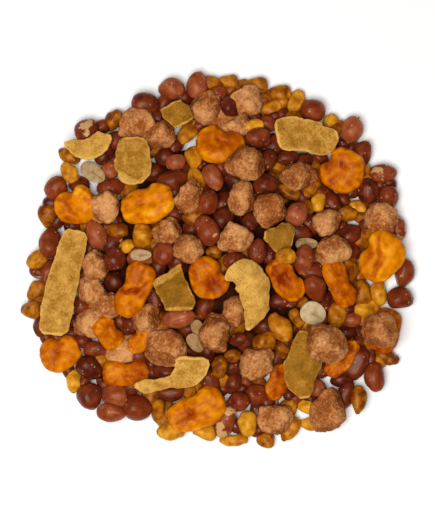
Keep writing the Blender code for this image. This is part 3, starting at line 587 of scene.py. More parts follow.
class Pile:
    """Heights of the heap so far: the bed that nuts settle on, the skin of all of it but the
    toppings, the cover that the toppings make, and the underside of all that lies in it."""

    def __init__(self):
        middles = (np.arange(int(2 * FIELD_HALF / CELL)) + 0.5) * CELL - FIELD_HALF
        x, y = np.meshgrid(middles, middles, indexing="ij")
        self.mound = mound_height(x, y)
        self.bed = np.maximum(self.mound - SINK_IN_MOUND, FLOOR_CLEARANCE)
        self.skin = self.mound.copy()
        self.cover = np.full(self.mound.shape, -np.inf)
        self.underside = np.full(self.mound.shape, np.inf)

    def settle(self, cloud, crest, topping=False):
        """Leans a cloud with what is under it, lowers it until it rests, and adds it. A crest of
        None is a chip, which lies on everything. It gives the turn and the move of the cloud."""
        chip = crest is None
        ends = cloud.min(axis=0), cloud.max(axis=0)
        middle = np.array((*(0.5 * (ends[0] + ends[1]))[:2], 0.0))
        lean = lean_on(self.bed, cloud, MOST_TOPPING_TILT if topping else MOST_TILT)
        leaned = (cloud - middle) @ lean.T
        core = leaned * (SETTLING_CORE, SETTLING_CORE, 1.0) + middle
        leaned = leaned + middle
        if chip:
            lift = rest_on(self.skin, leaned) + SEAT_GAP
        else:
            column, row = (np.floor((middle[:2] + FIELD_HALF) / CELL)).astype(int)
            most = self.mound[column, row] + crest - leaned[:, 2].max()
            lift = min(rest_on(self.bed, core), most)
            lift = max(lift, FLOOR_CLEARANCE - leaned[:, 2].min())
        if topping:
            lift = max(lift, rest_on(self.cover, leaned, 1) + TOPPING_GAP)
        at, lowest, highest = footprint(leaned)
        self.bed[at] = np.maximum(self.bed[at], highest + lift - NESTLE)
        level = self.cover if topping else self.skin
        level[at] = np.maximum(level[at], highest + lift)
        self.underside[at] = np.minimum(self.underside[at], lowest + lift)
        return lean, middle - lean @ middle + (0.0, 0.0, lift)

    def crown(self):
        """The top of all that lies in the heap so far, and no limit where nothing does."""
        return np.where(np.isfinite(self.underside), np.maximum(self.skin, self.cover), np.inf)

    def push_up(self, cloud, crown, crest, outline=None, least=-math.inf):
        """Raises a cloud from below until it presses a little into the underside of the heap or
        reaches the crest, and below the crown. None if on the floor it is too thick for that, if
        it reaches out of the outline, or if it stays below the least crest."""
        ends = cloud.min(axis=0), cloud.max(axis=0)
        middle = np.array((*(0.5 * (ends[0] + ends[1]))[:2], 0.0))
        lean = lean_on(self.mound, cloud, MOST_TILT)
        leaned = (cloud - middle) @ lean.T + middle
        at, lowest, highest = footprint(leaned)
        covered = np.isfinite(highest)
        if outline is not None and np.mean(~outline[at][covered]) > MOST_OUTSIDE:
            return None
        column, row = (np.floor((middle[:2] + FIELD_HALF) / CELL)).astype(int)
        most = self.mound[column, row] + crest - leaned[:, 2].max()
        pressed = float(np.min((self.underside[at] - highest)[covered])) + UNDER_PRESS
        room = float(np.min((crown[at] - highest)[covered])) - UNDER_GAP
        lift = max(min(pressed, most, room), FLOOR_CLEARANCE - leaned[:, 2].min())
        crest_got = leaned[:, 2].max() + lift - self.mound[column, row]
        if lift > room + MOST_CROSSING or crest_got < least:
            return None
        crown[at] = np.where(covered, np.minimum(crown[at], highest + lift), crown[at])
        self.underside[at] = np.minimum(self.underside[at], lowest + lift)
        return lean, middle - lean @ middle + (0.0, 0.0, lift)

    def outline(self):
        """What the pieces cover, grown and shrunk by the bridge, without the gaps that stay open."""
        covered = np.isfinite(self.underside)
        outline = covered
        steps = int(OUTLINE_BRIDGE / CELL)
        for pick in [np.max] * steps + [np.min] * steps:
            outline = widened(outline, pick)
        middles = (np.arange(len(covered)) + 0.5) * CELL - FIELD_HALF
        x, y = np.meshgrid(middles, middles, indexing="ij")
        for gap in OPEN_GAPS:
            gap_x, gap_y = plan_point(*gap)
            outline = outline & (np.hypot(x - gap_x, y - gap_y) > GAP_RADIUS)
        return outline


def turned_by(row, wobble):
    """A piece's heading with a small tilt of its own."""
    column, line, _, _, heading = row
    turned = turn(2, heading) @ turn(0, wobble * (2 * chance(column, line, 3) - 1))
    return turned @ turn(1, wobble * (2 * chance(column, line, 4) - 1))


Kind = namedtuple("Kind", "shape relief grid under_grid")
Placed = namedtuple("Placed", "row rotation place under")


def lattice(cells, seed):
    """A random number from 0 to 1 for each whole-numbered cell."""
    return np.modf(np.abs(np.sin(cells @ np.array((127.1, 311.7, 74.7)) + 53.3 * seed)) * 43758.5453)[0]


def clouds(points, size, seed):
    """Value noise from -1 to 1: random heights at the corners of cells of this size, blended."""
    cell = np.floor(points / size)
    f = points / size - cell
    f = f * f * (3.0 - 2.0 * f)
    total = 0.0
    for corner in np.ndindex(2, 2, 2):
        weight = np.prod(np.where(corner, f, 1.0 - f), axis=-1)
        total = total + weight * lattice(cell + corner, seed)
    return 2.0 * total - 1.0


def swell(points, high_and_broad, seed):
    """Clouds of a height and a breadth."""
    height, breadth = high_and_broad
    return height * clouds(points, breadth, seed)


def pebbles(points, size, seed):
    """Packed grains from 0 to 1: a dome round the nearest of one random spot in each cell."""
    cell = np.floor(points / size)
    nearest = np.full(points.shape[:-1], np.inf)
    for step in np.ndindex(3, 3, 3):
        other = cell + np.array(step) - 1
        spot = np.stack([lattice(other, seed + k) for k in (1, 2, 3)], axis=-1) * 0.8 + 0.1
        nearest = np.minimum(nearest, np.linalg.norm(other + spot - points / size, axis=-1))
    return np.clip(1.0 - nearest ** 2, 0.0, 1.0)


def skin_relief(local, u, v, key):
    """Flattened sides, a nib at one end, broad dimples and fine lengthwise wrinkles."""
    drawn_out = local * (0.25, 1.0, 1.0)
    nib = NIB[0] * chance(*key, 11) ** 2 * np.exp(-(u / NIB[1]) ** 2)
    uneven = swell(local, SKIN_DIMPLES, key[0]) + swell(drawn_out, SKIN_WRINKLES, key[1])
    return SKIN_FULLER + cuts(local, key, *SKIN_CUTS) + nib + uneven


def cuts(local, key, count, depth):
    """How far flat cuts at random slants lie under a rounded shape. Each cut stands at a share of
    the shape's own reach that way, and where cuts meet their edge is rounded a little."""
    semi = np.abs(local).reshape(-1, 3).max(axis=0)
    far = np.maximum(np.linalg.norm(local, axis=-1), 1e-6)
    ahead = local / far[..., None]
    total = far ** -EDGE_SHARPNESS
    for number in range(count):
        rise = 2.0 * chance(*key, 20 + number) - 1.0
        bearing = 2.0 * math.pi * chance(*key, 40 + number)
        flat = math.sqrt(1.0 - rise ** 2)
        slant = np.array((flat * math.cos(bearing), flat * math.sin(bearing), rise))
        reach = np.linalg.norm(semi * slant) * (1.0 - depth * chance(*key, 60 + number))
        total = total + (np.maximum(ahead @ slant, 0.02) / reach) ** EDGE_SHARPNESS
    return total ** (-1.0 / EDGE_SHARPNESS) - far


def sugar_relief(local, u, v, key):
    """Sugar crust: an angular lump with knobs as wide as a lentil and grains a millimetre across."""
    knobs = pebbles(local, SUGAR_KNOBS[1], key[0]) - 0.55
    grains = pebbles(local, SUGAR_GRAINS[1], key[1]) - 0.6
    lump = SUGAR_FULLER + cuts(local, key, *SUGAR_CUTS) + SUGAR_KNOBS[0] * knobs
    return lump + swell(local, SUGAR_RAGGED, key[1] + 3) + SUGAR_GRAINS[0] * grains


def corn_relief(local, u, v, key):
    """Slight facets, none of them at the two ends, and a dent in the flat side towards the crown."""
    dent = np.exp(-((u - 1.9) / 0.5) ** 2) * np.clip(np.sin(v), 0.0, 1.0) ** 3
    inland = np.clip(1.4 * np.sin(u), 0.0, 1.0)
    lump = CORN_FULLER + inland * cuts(local, key, *CORN_CUTS)
    return lump + swell(local, CORN_UNEVEN, key[0]) - CORN_DENT * dent * chance(*key, 5)


def half_relief(local, u, v, key):
    """Cut face with a short groove along its middle."""
    up = np.sin(v) > 0.0
    groove = np.exp(-(np.cos(v) / 0.2) ** 2 - ((u - 2.1) / 0.8) ** 2)
    return np.where(up, -HALF_GROOVE * groove, 0.0) + swell(local, HALF_UNEVEN, key[0])


def bean_relief(local, u, v, key):
    """Shrunken skin of a fried bean, on its upper side: a raised lip round the outline, a hollow
    off the middle, a crooked crease beside it, wrinkles that fan out to the lip, and dents."""
    _, lip_height, hollow_depth, crease_depth, heading = BEAN_LOOKS[key]
    heading = math.radians(heading)
    semi = np.abs(local).reshape(-1, 3).max(axis=0)
    x, y = local[..., 0] / semi[0], local[..., 1] / semi[1]
    out, bearing = np.hypot(x, y), np.arctan2(y, x)
    top = np.clip(2.5 * np.sin(v), 0.0, 1.0)
    uneven = clouds(local, BEAN_UNEVEN[1], key[0])
    lip = np.exp(-((out - LIP[0]) / LIP[1]) ** 2) * (0.75 + 0.5 * uneven)
    ahead_x, ahead_y = math.cos(heading), math.sin(heading)
    aside_x, aside_y = x - HOLLOW[0] * ahead_x, y - HOLLOW[0] * ahead_y
    hollow = np.exp(-((aside_x ** 2 + aside_y ** 2) / HOLLOW[1]) ** 2)
    place, sway, breadth = CREASE
    across = x * ahead_x + y * ahead_y
    crease = np.exp(-((across - place + sway * np.sin(4.0 * out + heading)) / breadth) ** 2)
    crease = crease * np.clip(1.2 - out, 0.0, 1.0)
    fan = np.sin(FAN_FOLDS * bearing + 3.5 * uneven) * np.clip((out - FAN_START) / 0.5, 0.0, 1.0)
    shrunk = lip_height * lip - hollow_depth * hollow - crease_depth * crease + BEAN_FAN * fan
    shrunk = shrunk + swell(local, BEAN_DENTS, key[1])
    return top * shrunk + BEAN_UNEVEN[0] * uneven + swell(local, BEAN_FINE, key[1])


KINDS = {
    "skin": Kind(skin_shape, skin_relief, (36, 26), (16, 12)),
    "sugar": Kind(sugar_shape, sugar_relief, (60, 44), (28, 20)),
    "corn": Kind(corn_shape, corn_relief, (34, 26), (16, 12)),
    "half": Kind(half_shape, half_relief, (40, 32), (24, 20)),
    "bean": Kind(bean_shape, bean_relief, (84, 60), (84, 60)),
}


@lru_cache(maxsize=None)
def heap():
    """All pieces of the heap by kind: settled in the part's own order, then those of the layer
    below, then the nuts that fill what is still open."""
    pile = Pile()
    placed = {kind: [] for kind in (*KINDS, "chip")}

    def put(kind, row, wobble, lower, under):
        turned = turned_by(row, wobble)
        place = np.append(plan_point(*row[:2]), 0.0)
        found = lower(cloud_of(KINDS[kind].shape, row[2], row[3], row[:2]) @ turned.T + place)
        if found:
            lean, move = found
            placed[kind].append(Placed(row, lean @ turned, lean @ place + move, under))
        return found

    def lay(kind, rows, crest, topping=False):
        for row in rows:
            put(kind, row, TOPPING_WOBBLE if topping else WOBBLE,
                lambda cloud: pile.settle(cloud, crest, topping), False)

    def tuck(kind, row, *limits):
        return put(kind, row, WOBBLE, lambda cloud: pile.push_up(cloud, crown, *limits), True)

    lay("skin", LOW_SKINS, LOW_CREST)
    lay("corn", LOW_CORN, LOW_CREST)
    lay("sugar", LOW_SUGARED, LOW_CREST)
    lay("half", LOW_HALVES, LOW_CREST)
    lay("corn", CORN, CORN_CREST)
    lay("skin", SKINS, CREST)
    lay("sugar", SUGARED, CREST)
    lay("half", HALVES, CREST)
    lay("bean", LOW_BEANS, LOW_BEAN_CREST, True)
    lay("bean", BEANS, BEAN_CREST, True)
    for name, chip in CHIPS.items():
        rotation, place = pile.settle(chip_cloud(chip), None, True)
        placed["chip"].append(Placed(name, rotation, place, False))
    lay("sugar", TOP_SUGARED, TOP_CREST, True)
    lay("corn", TOP_CORN, TOP_CREST, True)
    crown = pile.crown()
    for kind, rows in (("skin", UNDER_SKINS), ("corn", UNDER_CORN), ("sugar", UNDER_SUGARED),
                       ("half", UNDER_HALVES)):
        for row in rows:
            tuck(kind, row, UNDER_CREST)
    outline = pile.outline()
    untried = outline.copy()
    for number in range(MOST_FILLERS):
        depth = gap_depth(untried & widened(np.isinf(pile.underside), np.max))
        if depth.max() * CELL < NARROWEST_GAP:
            break
        i, j = np.unravel_index(np.argmax(depth), depth.shape)
        x, y = (np.array((i, j)) + 0.5) * CELL - FIELD_HALF
        column, line = x / PLAN_STEP + PLAN_MIDDLE[0], PLAN_MIDDLE[1] - y / PLAN_STEP
        kind = "skin" if chance(number, 1) < FILL_SKINS else "corn"
        length, width = (low + (high - low) * chance(number, 2 + k)
                         for k, (low, high) in enumerate((FILL_LENGTH, FILL_WIDTH)))
        spot, heading = (round(column, 1), round(line, 1)), 360 * chance(number, 5)
        for share in FILL_SHARES:
            row = (*spot, length * share, width * share, heading)
            if tuck(kind, row, FILL_CREST, outline, FILL_LEAST_CREST):
                break
        untried[i - 1:i + 2, j - 1:j + 2] = False
    return placed


def gap_depth(free):
    """How many times the free cells can shrink before each goes."""
    depth = np.zeros(free.shape, dtype=int)
    while free.any():
        depth += free
        free = widened(free, np.min)
    return depth


def normals_of(points):
    """Unit normals of a grid of points that closes on itself across, by its slopes both ways."""
    along = np.gradient(points, axis=0)
    across = np.roll(points, -1, axis=1) - np.roll(points, 1, axis=1)
    normal = np.cross(along, across)
    length = np.linalg.norm(normal, axis=-1, keepdims=True)
    normal = normal / np.maximum(length, 1e-9)
    normal[0], normal[-1] = (-1.0, 0.0, 0.0), (1.0, 0.0, 0.0)
    inward = np.sum((points - points.mean(axis=(0, 1))) * normal) < 0.0
    return -normal if inward else normal


def grid_faces(rings, sides):
    """Quads of a grid that closes on itself across."""
    i, j = np.meshgrid(np.arange(rings - 1), np.arange(sides), indexing="ij")
    k = (j + 1) % sides
    corners = (i * sides + j, (i + 1) * sides + j, (i + 1) * sides + k, i * sides + k)
    return np.stack(corners, axis=-1).reshape(-1, 4)


def outward(points, faces):
    """The faces turned so that the closed grid of points encloses a positive volume."""
    a, b, c, d = (points[faces[:, k]] for k in range(4))
    from_middle = a - points.mean(axis=0)
    volume = np.sum(np.cross(b - a, c - a) * from_middle) + np.sum(np.cross(c - a, d - a) * from_middle)
    return faces if volume > 0 else faces[:, ::-1]


def piece_from(name, parts):
    """One object from many closed grids. Each part has its points in millimetres, its faces and
    its attributes: arrays of one number or of three for each point."""
    starts = np.cumsum([0] + [len(part["points"]) for part in parts[:-1]])
    points = np.concatenate([part["points"] for part in parts]) * MM
    faces = np.concatenate([part["faces"] + start for part, start in zip(parts, starts)])
    mesh = bpy.data.meshes.new(name)
    mesh.vertices.add(len(points))
    mesh.vertices.foreach_set("co", points.astype(np.float32).ravel())
    mesh.loops.add(faces.size)
    mesh.loops.foreach_set("vertex_index", faces.astype(np.int32).ravel())
    mesh.polygons.add(len(faces))
    mesh.polygons.foreach_set("loop_start", np.arange(0, faces.size, 4, dtype=np.int32))
    mesh.update(calc_edges=True)
    for key in parts[0]["attributes"]:
        values = np.concatenate([part["attributes"][key] for part in parts]).astype(np.float32)
        form = ("FLOAT", "value") if values.ndim == 1 else ("FLOAT_VECTOR", "vector")
        mesh.attributes.new(key, form[0], "POINT").data.foreach_set(form[1], values.ravel())
    model = bmesh.new()
    model.from_mesh(mesh)
    bmesh.ops.remove_doubles(model, verts=model.verts, dist=1e-7)
    model.to_mesh(mesh)
    model.free()
    mesh.polygons.foreach_set("use_smooth", np.ones(len(mesh.polygons), dtype=bool))
    piece = bpy.data.objects.new(name, mesh)
    bpy.context.scene.collection.objects.link(piece)
    return piece


def nut_part(kind, placed):
    """Closed grid of one nut, kernel or bean: its shape with its relief raised along its normals."""
    column, line, length, width, _ = placed.row
    rings, sides = KINDS[kind].under_grid if placed.under else KINDS[kind].grid
    u = np.linspace(0.0, math.pi, rings)
    v = 2.0 * math.pi * np.arange(sides) / sides
    u, v = np.meshgrid(u, v, indexing="ij")
    key = (column, line)
    usual = BEAN_LOOKS[key][0] if kind == "bean" else chance(column, line, 10)
    tone = HALF_PALENESS.get(key, usual)
    # Pieces of the layer below are painted darker: painted shade deep in the heap
    if placed.under:
        tone = UNDER_SHADE_PALENESS * tone
    local = KINDS[kind].shape(u, v, length, width, key)
    raised = KINDS[kind].relief(local, u, v, key)
    raised[0], raised[-1] = raised[0, 0], raised[-1, 0]
    surface = (local + normals_of(local) * raised[..., None]).reshape(-1, 3)
    points = surface @ placed.rotation.T + placed.place
    points[:, 2] = np.maximum(points[:, 2], 0.5 * FLOOR_CLEARANCE)
    count = len(points)
    attributes = {
        "local": surface + PATTERN_SHIFT * chance(column, line, 9),
        "tone": np.full(count, tone),
        "relief": raised.ravel(),
        "along": (u / math.pi).ravel(),
        "bare": np.full(count, float(key in FLAKED)),
    }
    faces = outward(points, grid_faces(rings, sides))
    return {"points": points, "faces": faces, "attributes": attributes}


def chip_part(placed):
    """Closed grid of a chip: round its middle sheet goes a slab with rounded edges, and blisters
    and pits are raised along the sheet's normals."""
    chip = CHIPS[placed.row]
    rings, sides = CHIP_GRID
    seed = len(placed.row) + ord(placed.row[0])
    t = np.linspace(0.0, 1.0, rings)
    t = t - CHIP_GATHER * np.sin(2.0 * math.pi * t) / (2.0 * math.pi)
    w = 2.0 * math.pi * np.arange(sides) / sides
    u, w = np.meshgrid(t, w, indexing="ij")
    v = np.sign(np.cos(w)) * np.abs(np.cos(w)) ** CHIP_SQUARE[0]
    half = np.sign(np.sin(w)) * np.abs(np.sin(w)) ** CHIP_SQUARE[1] * 0.5 * CHIP_THICKNESS
    line = np.array([plan_point(*point) for point in chip[0]])
    length = np.sum(np.linalg.norm(np.diff(line, axis=0), axis=1))
    from_end = np.clip(np.minimum(u, 1.0 - u) * length / CHIP_END_RADIUS, 0.0, 1.0)
    half = half * np.sqrt(1.0 - (1.0 - from_end) ** 2)
    sheet = chip_sheet(chip, u, v)
    normal = chip_normal(chip, u, v)
    flat = sheet * (1.0, 1.0, 0.0)
    ragged = [sum(swell(flat, layer, seed + k) for layer in CHIP_RAGGED) for k in (5, 6)]
    sheet = sheet + np.stack((*ragged, np.zeros_like(u)), axis=-1)
    wave = sum(swell(flat, layer, seed + k) for k, layer in enumerate(CHIP_WAVES))
    pits = CHIP_PITS[0] * (pebbles(flat, CHIP_PITS[1], seed + 2) - 0.6)
    pits = pits + swell(flat, CHIP_FINE, seed + 3)
    # Pale rim along the long edges and lips at the ends: painted light on the chip's edge
    rim = np.abs(v) ** CHIP_RIM_POWER
    surface = sheet + normal * (half + wave + pits * np.abs(half) * 1.1)[..., None]
    surface = surface.reshape(-1, 3)
    points = surface @ placed.rotation.T + placed.place
    first, last = CHIP_LIPS.get(placed.row, CHIP_LIP)
    within = np.minimum(u * length / first, (1.0 - u) * length / last)
    edge = np.maximum(rim, np.clip(3.0 - 3.0 * within, 0.0, 1.0))
    attributes = {
        "local": surface,
        "tone": np.full(len(points), CHIP_PALENESS[placed.row]),
        "edge": edge.ravel(),
    }
    faces = outward(points, grid_faces(rings, sides))
    return {"points": points, "faces": faces, "attributes": attributes}


MIX_FACTOR, MIX_A, MIX_B, MIX_RESULT = 0, 6, 7, 2


def feed(node, inputs):
    """Sets or links a node's sockets. A node given as a value is linked by its main output."""
    for name, value in dict(inputs).items():
        if isinstance(value, bpy.types.Node):
            value = value.outputs[MIX_RESULT if value.bl_idname == "ShaderNodeMix" else 0]
        if isinstance(value, bpy.types.NodeSocket):
            node.id_data.links.new(value, node.inputs[name])
        else:
            node.inputs[name].default_value = value


def add(tree, kind, inputs=(), stops=(), **settings):
    """Adds a shader node with its settings, colour stops, and values or links for its sockets."""
    node = tree.nodes.new("ShaderNode" + kind)
    for name, value in settings.items():
        setattr(node, name, value)
    feed(node, inputs)
    if stops:
        elements = node.color_ramp.elements
        while len(elements) < len(stops):
            elements.new(0.5)
        for element, (position, colour) in zip(elements, stops):
            element.position, element.color = position, colour
    return node


def blank(name, **sockets):
    """A new material with only a Principled BSDF and its output."""
    material = bpy.data.materials.new(name)
    material.use_nodes = True
    shader = material.node_tree.nodes["Principled BSDF"]
    feed(shader, {socket.replace("_", " "): value for socket, value in sockets.items()})
    return material, material.node_tree, shader


def food(name, carried, **sockets):
    """A new material with what its pieces carry: the place on the piece in millimetres, so that a
    scale of 1 / size gives a pattern of that size, and the named numbers."""
    material, tree, shader = blank(name, IOR=1.45, **sockets)
    place = add(tree, "Attribute", attribute_name="local").outputs["Vector"]
    numbers = [add(tree, "Attribute", attribute_name=one).outputs["Fac"] for one in carried]
    return material, tree, shader, place, *numbers


def skin_material(colours):
    """Papery skin of a roasted peanut: satin, red-brown, with fine lengthwise wrinkles and here
    and there a spot where it has flaked off the pale kernel."""
    material, tree, shader, local, tone, bare = food(
        "roasted_peanut_skin", ("tone", "bare"), Roughness=0.32, Specular_IOR_Level=0.28,
        Specular_Tint=linear(SKIN_GLOSS))
    drawn_out = add(tree, "Mapping", {"Vector": local, "Scale": (0.2, 1.0, 1.0)}).outputs["Vector"]
    wrinkles = add(tree, "TexNoise", {"Vector": drawn_out, "Scale": 1.0 / SKIN_WRINKLE, "Detail": 3.0})
    mottle = add(tree, "TexNoise", {"Vector": local, "Scale": 1.0 / SKIN_MOTTLE, "Detail": 2.0})
    shade = add(tree, "MapRange", {"Value": mottle, "From Min": 0.3, "From Max": 0.7,
                                   "To Min": -0.22, "To Max": 0.22})
    own = add(tree, "MapRange", {"Value": tone, "To Min": 0.12, "To Max": 0.86})
    mixed = add(tree, "Math", {0: own, 1: shade}, operation="ADD")
    base = add(tree, "ValToRGB", {"Fac": mixed}, stops=(
        (0.0, colours.skin_dark), (0.5, colours.skin_red), (1.0, colours.skin_light)))
    lines = add(tree, "MapRange", {"Value": wrinkles, "From Min": 0.35, "From Max": 0.62,
                                   "To Min": 0.28, "To Max": 0.0})
    lined = add(tree, "Mix", {MIX_FACTOR: lines, MIX_A: base,
                              MIX_B: colours.skin_dark}, data_type="RGBA")
    flakes = add(tree, "TexNoise", {"Vector": local, "Scale": 1.0 / SKIN_FLAKE, "Detail": 3.0})
    eager = add(tree, "Math", {0: bare, 1: 0.12, 2: flakes}, operation="MULTIPLY_ADD")
    gone = add(tree, "MapRange", {"Value": eager, "From Min": 0.68, "From Max": 0.71})
    flaked = add(tree, "Mix", {MIX_FACTOR: gone, MIX_A: lined,
                               MIX_B: linear(SKIN_FLAKED)}, data_type="RGBA")
    # White specks of salt, partly painted glints: salt grains are a third of a millimetre and are drawn
    # twice as large, so that they show
    grains = add(tree, "TexVoronoi", {"Vector": local, "Scale": 1.0 / SALT_SPACING}, feature="F1")
    salt_and_glints = add(tree, "MapRange", {"Value": grains, "From Min": 0.13, "From Max": 0.08, "To Max": 0.3})
    coloured = add(tree, "Mix", {MIX_FACTOR: salt_and_glints, MIX_A: flaked,
                                 MIX_B: linear(SALT_AND_GLINT_WHITE)}, data_type="RGBA")
    bump = add(tree, "Bump", {"Height": wrinkles, "Strength": 0.7, "Distance": 0.25 * MM})
    feed(shader, {"Base Color": coloured, "Normal": bump})
    return material


def crust_material(colours):
    """Sugar crust cooked onto peanuts in a pan: pale frosted grains over amber hollows, dull, with small
    glints. The colour follows the relief, so the pale tops and the dark hollows are partly the crust's
    own and partly painted light and painted shade, and the glints are painted highlights."""
    material, tree, shader, local, tone, relief = food(
        "panned_sugar_crust", ("tone", "relief"), Specular_IOR_Level=0.26,
        Specular_Tint=linear(OIL_TINT))
    grains = add(tree, "TexVoronoi", {"Vector": local, "Scale": 1.0 / CRUST_GRAIN}, feature="F1")
    speckle = add(tree, "TexNoise", {"Vector": local, "Scale": 1.0 / CRUST_SPECKLE, "Detail": 4.0})
    # Paler on the tops of the relief and darker in its hollows: partly the crust's own colour, partly
    # painted light and painted shade
    height = add(tree, "MapRange", {"Value": relief, "From Min": -2.4, "From Max": 2.2})
    spread = add(tree, "MapRange", {"Value": speckle, "From Min": 0.3, "From Max": 0.7,
                                    "To Min": -0.2, "To Max": 0.2})
    mixed = add(tree, "Math", {0: height, 1: spread}, operation="ADD")
    toned = add(tree, "MapRange", {"Value": tone, "To Min": -0.15, "To Max": 0.15})
    total = add(tree, "Math", {0: mixed, 1: toned}, operation="ADD")
    base = add(tree, "ValToRGB", {"Fac": total}, stops=(
        (0.0, colours.crust_deep), (0.5, colours.crust_tan), (1.0, colours.crust_frost)))
    gloss = add(tree, "MapRange", {"Value": grains, "From Min": 0.1, "From Max": 0.5,
                                   "To Min": 0.32, "To Max": 0.75})
    bump = add(tree, "Bump", {"Height": grains, "Strength": 0.8, "Distance": 0.3 * MM}, invert=True)
    # Painted glints: whitish specks in the crust's colour stand for sugar crystals catching the light.
    # The crystals are half a millimetre and the specks are drawn twice as large, so that they show
    crystals = add(tree, "TexNoise", {"Vector": local, "Scale": 1.0 / SUGAR_CRYSTAL, "Detail": 2.0})
    glint = add(tree, "MapRange", {"Value": crystals, "From Min": 0.55, "From Max": 0.75,
                                   "To Max": 0.3})
    painted_glints = add(tree, "Mix", {MIX_FACTOR: glint, MIX_A: base,
                                MIX_B: linear(SUGAR_GLINT_WHITE)}, data_type="RGBA")
    feed(shader, {"Base Color": painted_glints, "Roughness": gloss, "Normal": bump})
    return material


def corn_material(colours):
    """Toasted corn: a smooth, slightly glossy hull, golden with browner patches and a dark tip."""
    material, tree, shader, local, tone, along = food(
        "toasted_corn_hull", ("tone", "along"), Roughness=0.3, Specular_IOR_Level=0.28,
        Specular_Tint=linear(OIL_TINT))
    patches = add(tree, "TexNoise", {"Vector": local, "Scale": 1.0 / CORN_PATCH, "Detail": 3.0})
    spread = add(tree, "MapRange", {"Value": patches, "From Min": 0.3, "From Max": 0.7,
                                    "To Min": -0.32, "To Max": 0.32})
    own = add(tree, "MapRange", {"Value": tone, "To Min": 0.1, "To Max": 0.8})
    mixed = add(tree, "Math", {0: own, 1: spread}, operation="ADD")
    base = add(tree, "ValToRGB", {"Fac": mixed}, stops=(
        (0.0, colours.corn_toasted), (0.45, colours.corn_gold), (1.0, colours.corn_bright)))
    tip = add(tree, "MapRange", {"Value": along, "From Min": 0.14, "From Max": 0.02, "To Max": 0.8})
    tipped = add(tree, "Mix", {MIX_FACTOR: tip, MIX_A: base, MIX_B: linear(CORN_TIP)}, data_type="RGBA")
    grain = add(tree, "TexNoise", {"Vector": local, "Scale": 1.0 / CORN_GRAIN, "Detail": 2.0})
    bump = add(tree, "Bump", {"Height": grain, "Strength": 0.35, "Distance": 0.15 * MM})
    feed(shader, {"Base Color": tipped, "Normal": bump})
    return material


def half_material(colours):
    """Blanched peanut half: matt cream, a little brown in its groove, which is painted shade."""
    material, tree, shader, local, tone, relief = food(
        "blanched_peanut", ("tone", "relief"), Roughness=0.55, Specular_IOR_Level=0.3)
    cloudy = add(tree, "TexNoise", {"Vector": local, "Scale": 1.0 / HALF_CLOUD, "Detail": 3.0})
    # Browner where the relief sinks, in the groove: painted shade
    groove_shade = add(tree, "MapRange", {"Value": relief, "From Min": -0.1, "From Max": -0.45, "To Max": 0.8})
    spread = add(tree, "MapRange", {"Value": cloudy, "From Min": 0.45, "From Max": 0.75, "To Max": 0.5})
    own = add(tree, "MapRange", {"Value": tone, "To Min": 0.85, "To Max": 0.0})
    shaded = add(tree, "Math", {0: groove_shade, 1: spread}, operation="ADD")
    total = add(tree, "Math", {0: shaded, 1: own}, operation="ADD", use_clamp=True)
    base = add(tree, "Mix", {MIX_FACTOR: total, MIX_A: colours.half_cream,
                             MIX_B: linear(HALF_SHADE)}, data_type="RGBA")
    feed(shader, {"Base Color": base})
    return material


def bean_material(colours):
    """Fried bean in an oily seasoning: vivid orange, mottled, with a wet gloss. The colour follows the
    relief: red-orange in its folds and hollows, partly painted shade, and yellow on its ridges, partly
    painted light."""
    material, tree, shader, local, tone, relief = food(
        "oily_orange_bean", ("tone", "relief"), Specular_IOR_Level=0.18,
        Specular_Tint=linear(OIL_TINT))
    mottle = add(tree, "TexNoise", {"Vector": local, "Scale": 1.0 / BEAN_MOTTLE, "Detail": 3.0})
    # Darker in the folds and hollows of the relief and paler on its ridges: partly the bean's own colour,
    # partly painted shade and painted light
    height = add(tree, "MapRange", {"Value": relief, "From Min": -1.4, "From Max": 0.8,
                                    "To Min": 0.0, "To Max": 0.8})
    spread = add(tree, "MapRange", {"Value": mottle, "From Min": 0.3, "From Max": 0.75,
                                    "To Min": -0.18, "To Max": 0.28})
    own = add(tree, "MapRange", {"Value": tone, "To Min": -0.36, "To Max": 0.18})
    mixed = add(tree, "Math", {0: height, 1: spread}, operation="ADD")
    total = add(tree, "Math", {0: mixed, 1: own}, operation="ADD")
    base = add(tree, "ValToRGB", {"Fac": total}, stops=(
        (0.0, colours.bean_deep), (0.35, colours.bean_orange), (0.7, colours.bean_light),
        (0.95, linear(BEAN_YELLOW))))
    gloss = add(tree, "MapRange", {"Value": mottle, "From Min": 0.3, "From Max": 0.7,
                                   "To Min": 0.2, "To Max": 0.42})
    fine = add(tree, "TexNoise", {"Vector": local, "Scale": 1.0 / BEAN_WRINKLE, "Detail": 3.0})
    bump = add(tree, "Bump", {"Height": fine, "Strength": 0.6, "Distance": 0.25 * MM})
    feed(shader, {"Base Color": base, "Roughness": gloss, "Normal": bump})
    return material


